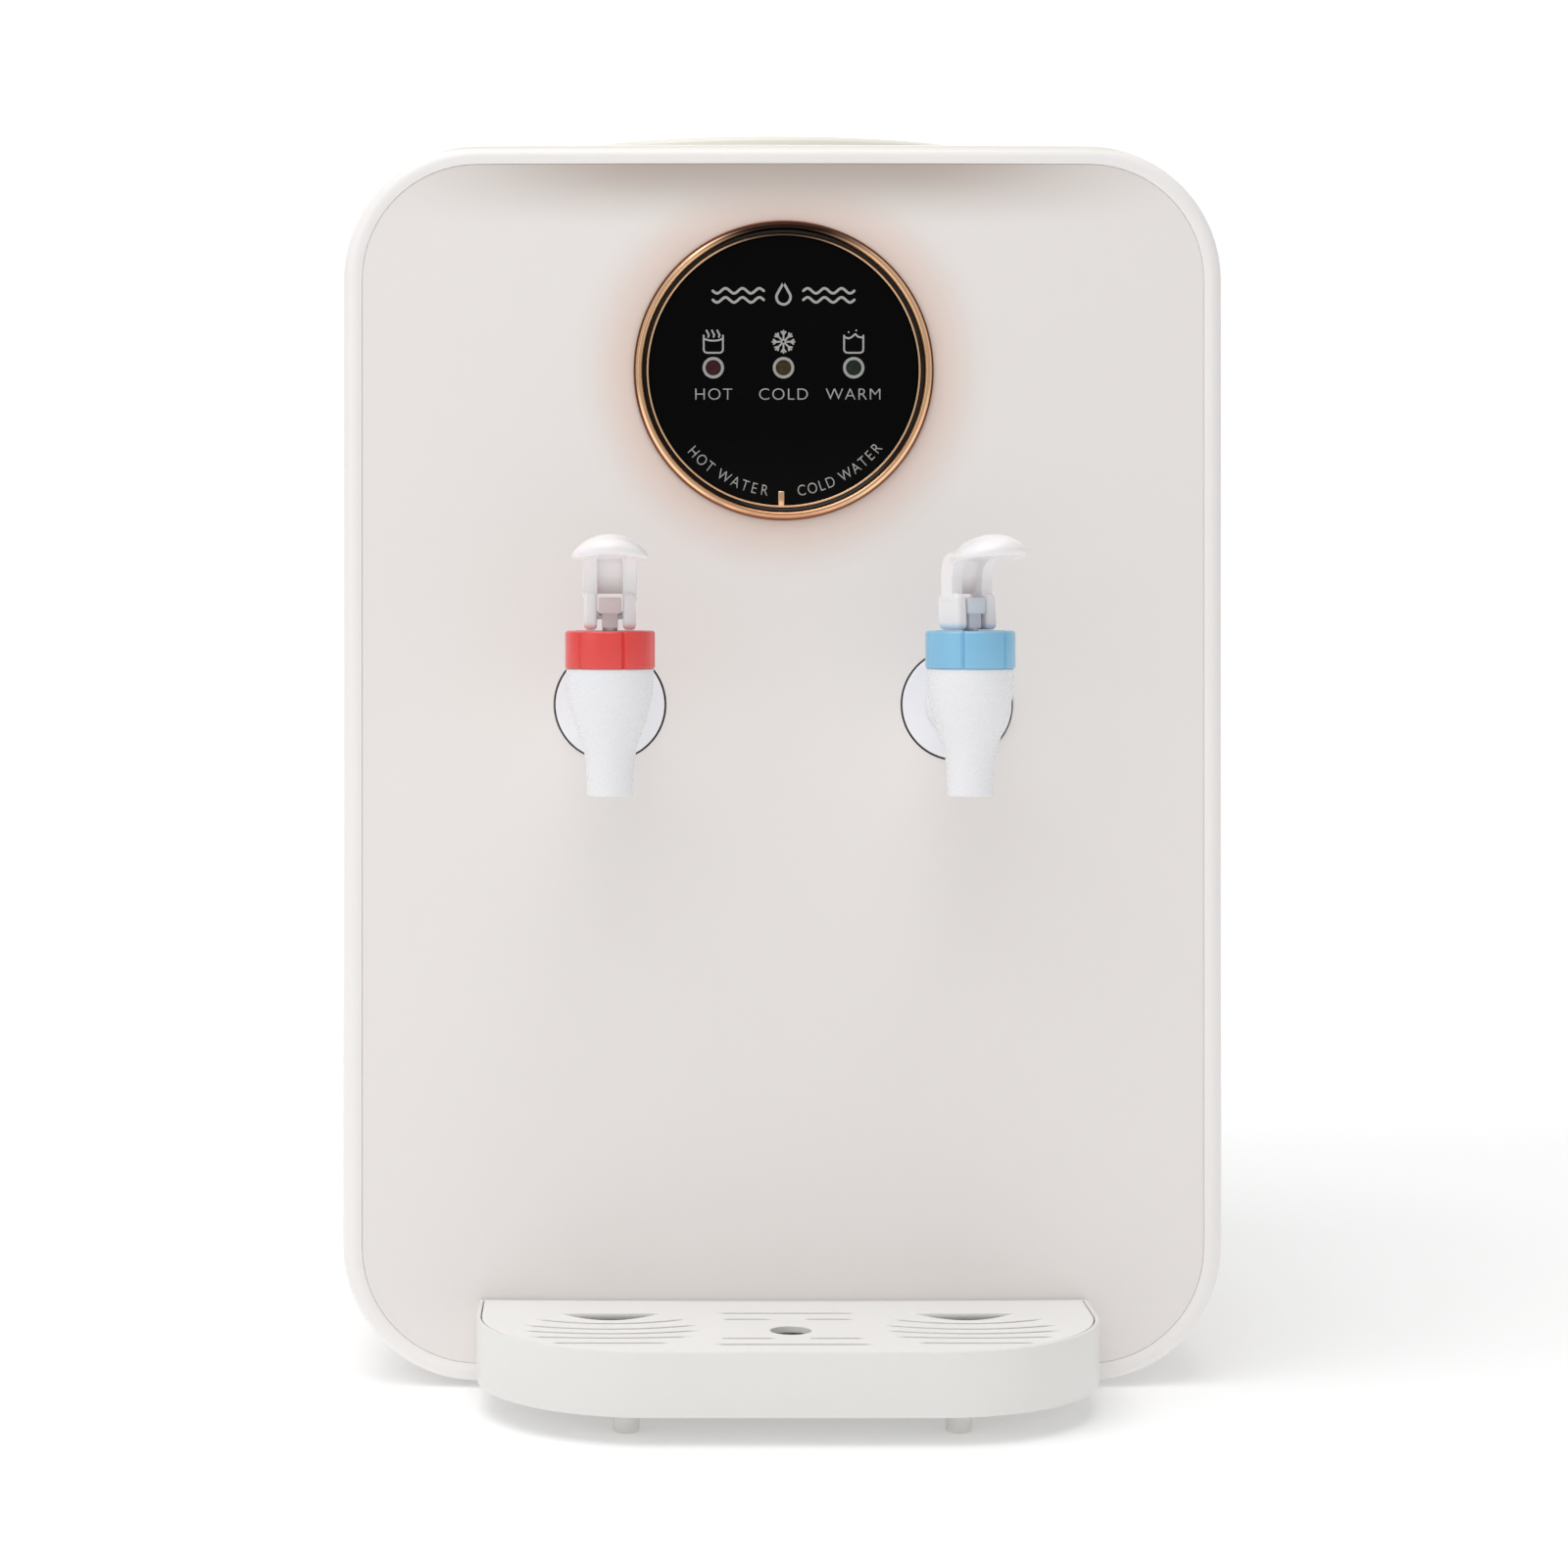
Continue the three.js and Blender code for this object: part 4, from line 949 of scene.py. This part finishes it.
def grooved_collar(name, colour, groove_degrees):
    """A round ring with six narrow grip grooves and rounded top and bottom edges."""
    count = 180

    def radius_at(angle, inset):
        away = abs((math.degrees(angle) - groove_degrees + 90 + 30) % 60 - 30)
        notch = max(0.0, 1 - away / 3.2) ** 1.4
        return 15.3 - inset - notch * (1 - inset / 3)

    outside = rounded_path([(3.7, COLLAR_HEIGHT), (0, COLLAR_HEIGHT, 1.1), (0, 13.9, 0.6), (2.7, 13.9)],
                           False, 5)
    loops = []
    for inset, height in outside:
        loops.append([(radius_at(a, inset) * math.cos(a), radius_at(a, inset) * math.sin(a), height)
                      for a in around(count)])
    for radius, height in ((12.6, 13.9), (12.6, 23.4), (11.7, 23.4), (11.7, COLLAR_HEIGHT)):
        loops.append(circle(radius, height, count))
    return loft(name + "_ring", loops, colour, closed=True)


def paddle_solid():
    """The thumb paddle: round in plan, arched across, rising to the front, thinning to its rim."""
    rings, spokes = 10, 48
    centre, reach, half = 9.8, 13.2, 13.1
    crest, peak = 27.5, 12
    front_fall, back_fall, arch, depth = 2.5, 6.5, 5.5, 7.0

    def point(ring, spoke, top):
        rho = math.sin(math.pi / 2 * ring / rings)
        angle = 2 * math.pi * spoke / spokes
        x = half * rho * math.sin(angle)
        ahead = centre + reach * rho * math.cos(angle)
        if ahead > peak:
            fall = front_fall * ((ahead - peak) / 11.2) ** 2
        else:
            fall = back_fall * ((peak - ahead) / 15) ** 2
        across = (x / half) ** 2
        crown = crest - arch * across - fall
        underside = crest - depth - 2.6 * across - 0.5 * fall
        thick = crown - underside
        edge = math.sqrt(max(0.0, 1 - rho ** 6))
        middle = crown - thick / 2
        return (x, -ahead, PIN_HEIGHT + middle + (thick / 2 * edge if top else -thick / 2 * edge))

    vertices = [point(0, 0, True), point(0, 0, False)]
    for top in (True, False):
        for ring in range(1, rings + (1 if top else 0)):
            vertices += [point(ring, spoke, top) for spoke in range(spokes)]
    upper = 2
    lower = 2 + rings * spokes
    faces = []
    for spoke in range(spokes):
        after = (spoke + 1) % spokes
        faces.append((0, upper + spoke, upper + after))
        faces.append((1, lower + after, lower + spoke))
        for ring in range(rings - 1):
            a, b = upper + ring * spokes, upper + (ring + 1) * spokes
            faces.append((a + spoke, b + spoke, b + after, a + after))
        for ring in range(rings - 2):
            a, b = lower + ring * spokes, lower + (ring + 1) * spokes
            faces.append((a + spoke, a + after, b + after, b + spoke))
        rim, last = upper + (rings - 1) * spokes, lower + (rings - 2) * spokes
        faces.append((rim + spoke, last + spoke, last + after, rim + after))
    return new_piece("paddle", vertices, faces, WHITE_LEVER["hot"])


def moulded_bar(outline, inner, outer, rounding):
    """A bar of the lever from its side outline, as (ahead of the pin, above the pin)."""
    path = [(-ahead, PIN_HEIGHT + height) for ahead, height in outline]
    low, high = sorted((inner, outer))
    return soften(prism("part", path, low, high, from_side, WHITE_LEVER["hot"]), rounding, angle=60)


def lever_shape(name):
    """Cheeks, curved legs, web and paddle grown together like one moulding."""
    cheek = rounded_path([(4.3, -4.9, 1.8), (-5.6, -4.9, 1.5), (-7.2, -2.6, 1.2), (-7.2, 7.5, 2.2),
                          (3.4, 7.5, 2.2)],
                         True, 5)
    leg = smooth_path([(-5.2, 4.5), (-5.3, 10), (-5.3, 14.5), (-4.6, 18), (-2.5, 20.6), (3, 22),
                       (10, 22.8)], 5)
    leg += smooth_path([(11, 21.2), (5.8, 19.6), (2.6, 17.2), (1.1, 13.5), (0.9, 9), (0.9, 4.5)], 5)
    web = [(-5.4, 7.3), (-4.2, 7.3), (-1.5, 13), (0.5, 20.5), (-1, 20.5), (-2.9, 13.3)]
    parts = [paddle_solid(), moulded_bar(web, -5, 5, 0.3)]
    for side in (-1, 1):
        parts.append(moulded_bar(cheek, side * 4.4, side * 8.8, 1.3))
        parts.append(moulded_bar(leg, side * 4.35, side * 9.2, 1.1))
    lever = joined(name + "_thumb_lever", parts)
    remesh = lever.modifiers.new("remesh", "REMESH")
    remesh.mode = "VOXEL"
    remesh.voxel_size = 0.32 * MM
    relax = lever.modifiers.new("relax", "SMOOTH")
    relax.factor = 0.5
    relax.iterations = 5
    apply_modifiers(lever)
    lever.data.materials.clear()
    lever.data.materials.append(WHITE_LEVER[name])
    lever.data.shade_smooth()
    return lever


def valve_stem(name):
    """The round rod with its flat-sided head between the lever's cheeks."""
    rod = lathe(name + "_stem_rod", [(0, -4), (5, -4), (5, -2.5), (2.6, -2.5), (2.6, 32), (0, 32)],
                SHADED_STEM[name],
                segments=48)
    head = soften(cuboid("head", (-3.9, -3.6, 32.4), (3.9, 3.6, 38), SHADED_STEM[name]), 0.7)
    neck = cuboid("neck", (-2.7, -2.7, 27.6), (2.7, 2.7, 33), SHADED_STEM[name])
    boolean(head, soften(neck, 0.4), "UNION")
    return joined(name + "_stem_rod", [boolean(rod, head, "UNION")])


def swivel(name):
    """The turning disc under the lever, recessed below for the top of the spring."""
    section = [(2.95, 22.7), (7.4, 22.7), (7.4, 20.3), (12.2, 20.3), (12.2, 23.1), (11.4, 23.1),
               (11.4, 26.6, 0.4),
               (2.95, 26.6, 0.3)]
    return lathe(name + "_swivel_disc", section, WHITE_TAP, closed=True, segments=64)


def tap(name, colour, slot, groove_degrees):
    centre = TAP[name]
    turn = Matrix.Rotation(math.radians(LEVER_TURN[name]), 4, "Z")

    def put(piece, body, slot_name, node, turned=None):
        fixed(placed(piece, centre.x, centre.y, TAP_Z, turned), body, slot_name, *([node] if node else []))

    put(tap_bell(name), "housing", "tap_white", name + "_tap_body")
    put(tap_arm(name), "housing", "tap_white", None)
    put(escutcheon(name), "housing", "tap_white", name + "_escutcheon")
    put(gasket_and_gap_shade(name), "housing", "rubber", None)
    put(grooved_collar(name, colour, groove_degrees), "housing", slot, name + "_collar")
    put(swivel(name), name + "_swivel_head", "tap_white", name + "_swivel_washer", turn)
    put(valve_stem(name), name + "_valve", "tap_white", name + "_stem", turn)
    put(lever_shape(name), name + "_handle", "tap_white", name + "_lever", turn)


# ---- Drip tray ----


def tray_tub():
    profile = rounded_path([(0, TRAY_BOTTOM, 1.0), (0, TRAY_HIGH.z, 0.35), (1.4, TRAY_HIGH.z, 0.25),
                            (1.5, 29.0, 0.2),
                            (3.3, 29.0, 0.3), (3.5, TRAY_BOTTOM + 2.2, 1.2)], True, 4)
    walls = [(0.9, TRAY_BOTTOM), (0.25, TRAY_BOTTOM + 0.25), (0, TRAY_BOTTOM + 0.9)]
    sections = [(3, TRAY_BOTTOM)] + walls + profile[5:] + [(6, TRAY_BOTTOM + 2)]
    loops = [[(x, y, z) for x, y in tray_outline(inset)] for inset, z in sections]
    tub = loft("tray_tub", loops, WHITE_TRAY)
    shade(tub, 40)
    fixed(tub, "tray", "tray_white", "drip_tray")
    for side, hand in ((-1, "left"), (1, "right")):
        peg = lathe("tray_peg_" + hand,
                    [(0, 0), (4.5, 0, 1.4), (4.5, TRAY_BOTTOM + 0.5), (0, TRAY_BOTTOM + 0.5)], WHITE_TRAY,
                    segments=48)
        fixed(placed(peg, side * 55.8, PANEL_Y - 62, 0), "tray", "tray_white")
        xs = sorted((side * 40, side * 54))
        tongue = cuboid("tray_tongue_" + hand, (xs[0], PANEL_Y - 2, 18),
                        (xs[1], PANEL_Y + 12, 24), WHITE_TRAY)
        fixed(soften(tongue, 0.5), "tray", "tray_white")


def slot_tool(x0, x1, reach, sag, width=2.4, steps=14):
    """A curved slot's cutting tool: its middle lies `sag` further forward than its ends."""
    xs = [x0 + (x1 - x0) * i / steps for i in range(steps + 1)]

    def y_at(x, side):
        t = 2 * (x - x0) / (x1 - x0) - 1
        end = min(1.0, (1 - abs(t)) * (x1 - x0) / width)
        taper = math.sqrt(max(0.04, end * (2 - end)))
        return PANEL_Y - (reach - sag * t * t) + side * width / 2 * taper

    outline = [(x, y_at(x, -1)) for x in xs] + [(x, y_at(x, 1)) for x in reversed(xs)]
    return prism("tool", outline, *GRILLE_CUT, in_plan, WHITE_GRILLE)


def finger_tool(x):
    half, reach, depth, steps = 17.5, 22, 11.8, 24
    outline = [(x + half * (1 - 2 * i / steps), PANEL_Y - reach - depth * (1 - (1 - 2 * i / steps) ** 2))
               for i in range(steps + 1)]
    return prism("tool", outline, *GRILLE_CUT, in_plan, WHITE_GRILLE)


def tray_grille():
    top = TRAY_HIGH.z
    sections = [(2.2, 29.3), (1.9, 29.6), (1.9, top - 0.3), (2.0, top - 0.1), (2.2, top)]
    grille = loft("tray_grille", [[(x, y, z) for x, y in tray_outline(inset)] for inset, z in sections],
                  WHITE_GRILLE)
    tools = [slot_tool(-24.4, 24.4, 22, 0), slot_tool(-27, 27, 72.5, 0)]
    tools.append(placed(drill(7, *GRILLE_CUT, WHITE_GRILLE, 48), 0, PANEL_Y - 50.5, 0))
    rows = ((39.4, 7.7), (48.2, 6.6), (55.6, 5.3), (62.4, 2.2), (70.5, 0.5))
    for side in (-1, 1):
        x = TAP["cold"].x * side
        for reach, sag in rows:
            half = math.sqrt(30.5 ** 2 - (reach - sag - 47) ** 2)
            tools.append(slot_tool(x - half, x + half, reach, sag))
        tools.append(finger_tool(x))
        for near, far, reach in ((5.6, 22.6, 32), (5.5, 24, 63)):
            low, high = sorted((side * near, side * far))
            tools.append(slot_tool(low, high, reach, 0))
    boolean(grille, joined("grille_tools", tools))
    soften(grille, 0.22, segments=2)
    fixed(grille, "grille", "tray_white", "drip_grille")


# ---- Bottle seat and rear fittings ----


def bottle_seat():
    rise = SEAT_TOP - TOP_Z
    section = [(100, 0.3, 0.5), (100, rise - 1.2, 2.0), (97.6, rise, 1.5), (93.2, rise, 1.5), (42, -15, 6),
               (33, -22, 4),
               (33, -62, 2), (24, -62, 0.5), (24, -65), (36, -65, 1), (36, -23.5, 2), (44, -17.6, 3),
               (88.5, 4.5),
               (88.5, -6), (91.5, -6), (91.5, 0.3)]
    seat = lathe("seat_dish", section, SEAT_CREAM, closed=True, segments=160)
    fixed(placed(seat, 0, SEAT.y, TOP_Z), "seat", "seat_white", "bottle_seat")


def rear_fittings():
    gland = middle_mm("cord_gland")
    sleeve = lathe("gland_sleeve", [(4, -9), (8, -9), (8, -6.3), (10, -6.3), (10, -3.4), (8, -3.4), (8, 0.3),
                                    (13, 0.3, 0.4), (13, 3, 0.8), (8.4, 3.2, 0.8), (6.8, 9, 0.8),
                                    (4, 9, 0.3)],
                   DARK_PLASTIC, closed=True, segments=64)
    fixed(placed(sleeve, gland.x, BACK_Y, gland.z, BACKWARDS), "housing", "dark_plastic", "cord_gland")

    drain = middle_mm("drain_cap")
    ribs, height = 24, 14
    loops = []
    for scale, z in ((0.6, height), (0.92, height), (1.0, height - 1.2), (1.0, 1.0)):
        loops.append([((11 - 0.5 * (k % 2)) * scale * math.cos(a),
                       (11 - 0.5 * (k % 2)) * scale * math.sin(a), z)
                      for k, a in enumerate(around(2 * ribs))])
    loops += [circle(6.6, z, 2 * ribs) for z in (1.0, 9)]
    cap = soften(loft("drain_knob", loops, DARK_PLASTIC), 0.2, segments=2)
    fixed(placed(cap, drain.x, BACK_Y, drain.z, BACKWARDS), "drain_plug", "dark_plastic", "drain_cap")

    switch = middle_mm("switch_plate")
    flange = cuboid("switch_bezel", (switch.x - 22, BACK_Y + 0.3, switch.z - 17),
                    (switch.x + 22, BACK_Y + 2.3, switch.z + 17),
                    DARK_PLASTIC)
    holder = cuboid("tool", (switch.x - 19.7, BACK_Y - 12, switch.z - 14.7),
                    (switch.x + 19.7, BACK_Y + 1, switch.z + 14.7),
                    DARK_PLASTIC)
    boolean(flange, holder, "UNION")
    windows = [cuboid("tool", (x - 7.5, BACK_Y - 20, switch.z - 12.3),
                      (x + 7.5, BACK_Y + 10, switch.z + 12.3), DARK_PLASTIC)
               for x in (switch.x - 9, switch.x + 9)]
    boolean(flange, joined("tool", windows))
    fixed(soften(flange, 0.4), "housing", "dark_plastic", "switch_plate")

    side = rounded_path([(-8, 0), (-3.5, -11), (3, -11.5, 0.6), (1.4, 0, 12), (3, 11.5, 0.6), (-3.5, 11)],
                        True, 5)
    tilt = Matrix.Rotation(math.radians(-12), 4, "X")
    for name, colour, slot, x in (("hot", CORAL, "tap_red", switch.x - 9),
                                  ("cold", SKY, "tap_blue", switch.x + 9)):
        rocker = soften(prism(name + "_rocker_key", side, -7.1, 7.1, from_side, colour), 0.3)
        fixed(placed(rocker, x, BACK_Y, switch.z, tilt), name + "_switch", slot, name + "_rocker")


# ---- CAD nodes that stay in view ----


def dress_inner_nodes():
    dressed = {
        "hot_shank_nut": STEEL, "cold_shank_nut": STEEL, "hot_cross_pin": STEEL, "cold_cross_pin": STEEL,
        "hot_return_spring": STEEL, "cold_return_spring": STEEL, "hot_seal": SILICONE, "cold_seal": SILICONE,
        "control_board": BOARD, "power_board": BOARD, "cold_tank": STEEL, "cold_tank_lid": WHITE_TRAY,
        "tank_foam": FOAM, "cold_block": ALUMINIUM, "heat_sink": ALUMINIUM, "fan_frame": DARK_PLASTIC,
        "fan_rotor": DARK_PLASTIC, "hot_tank": STEEL, "heater_band": ALUMINIUM, "tank_shelf": STEEL,
        "hot_hose": HOSE, "cold_hose": HOSE, "feed_hose": HOSE, "drain_pipe": HOSE,
    }
    for name, finish in dressed.items():
        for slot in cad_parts[name].material_slots:
            slot.material = finish


# ---- Studio ----


def backdrop():
    """A pale floor that sweeps up behind the object."""
    path = rounded_path([(-6.0, 0.0), (3.5, 0.0, 2.2), (3.5, 6.0)], False, 16)
    loops = [[(x, y, z) for x in (-7.0, 7.0)] for y, z in path]
    vertices = [point for loop in loops for point in loop]
    faces = [(2 * i, 2 * i + 1, 2 * i + 3, 2 * i + 2) for i in range(len(path) - 1)]
    mesh = bpy.data.meshes.new("studio_sweep")
    mesh.from_pydata(vertices, [], faces)
    pale = bpy.data.materials.new("pale_paper")
    pale.use_nodes = True
    shader = pale.node_tree.nodes["Principled BSDF"]
    shader.inputs["Base Color"].default_value = (0.84, 0.84, 0.84, 1)
    shader.inputs["Roughness"].default_value = 0.9
    shader.inputs["Specular IOR Level"].default_value = 0.0
    shader.inputs["Emission Color"].default_value = (1, 1, 1, 1)
    shader.inputs["Emission Strength"].default_value = 0.22
    mesh.materials.append(pale)
    mesh.shade_smooth()
    sweep = bpy.data.objects.new("studio_sweep", mesh)
    bpy.context.scene.collection.objects.link(sweep)


def area_light(name, place, target, size, power):
    data = bpy.data.lights.new(name, "AREA")
    data.shape = "RECTANGLE"
    data.size, data.size_y = size
    data.energy = power
    lamp = bpy.data.objects.new(name, data)
    lamp.location = place
    lamp.rotation_euler = (Vector(target) - Vector(place)).to_track_quat("-Z", "Y").to_euler()
    bpy.context.scene.collection.objects.link(lamp)


def studio():
    world = bpy.data.worlds.new("studio")
    bpy.context.scene.world = world
    world.use_nodes = True
    background = world.node_tree.nodes["Background"]
    background.inputs["Color"].default_value = (1.0, 1.0, 1.0, 1)
    background.inputs["Strength"].default_value = 0.45
    backdrop()
    area_light("above_front", (-0.55, -0.95, 2.4), (0, -0.1, 0.15), (2.4, 1.8), 31)
    area_light("key_left", (-1.9, -1.6, 1.0), (0, 0, 0.22), (1.4, 1.4), 4)
    area_light("above", (0, 0.1, 2.3), (0, 0.1, 0.2), (1.8, 1.2), 6)
    area_light("back", (0, 1.6, 1.8), (0, 3.4, 0.6), (3.0, 1.0), 40)


def camera():
    data = bpy.data.cameras.new("camera")
    data.lens = 81.25
    data.sensor_width = 36.0
    data.shift_x = 0.1106
    data.shift_y = -0.125
    made = bpy.data.objects.new("camera", data)
    made.location = Vector(CAMERA_PLACE) * MM
    made.rotation_euler = (math.radians(90), 0, 0)
    bpy.context.scene.collection.objects.link(made)
    bpy.context.scene.camera = made


camera()
studio()
bpy.context.scene.view_settings.view_transform = "Standard"

frame_moulding()
panel_face()
body_shells()
back_shell()
back_screws()
feet()
display_ring()
display_glass()
printing()
tap("hot", CORAL, "tap_red", 17.5)
tap("cold", SKY, "tap_blue", -14.5)
tray_tub()
tray_grille()
bottle_seat()
rear_fittings()
dress_inner_nodes()
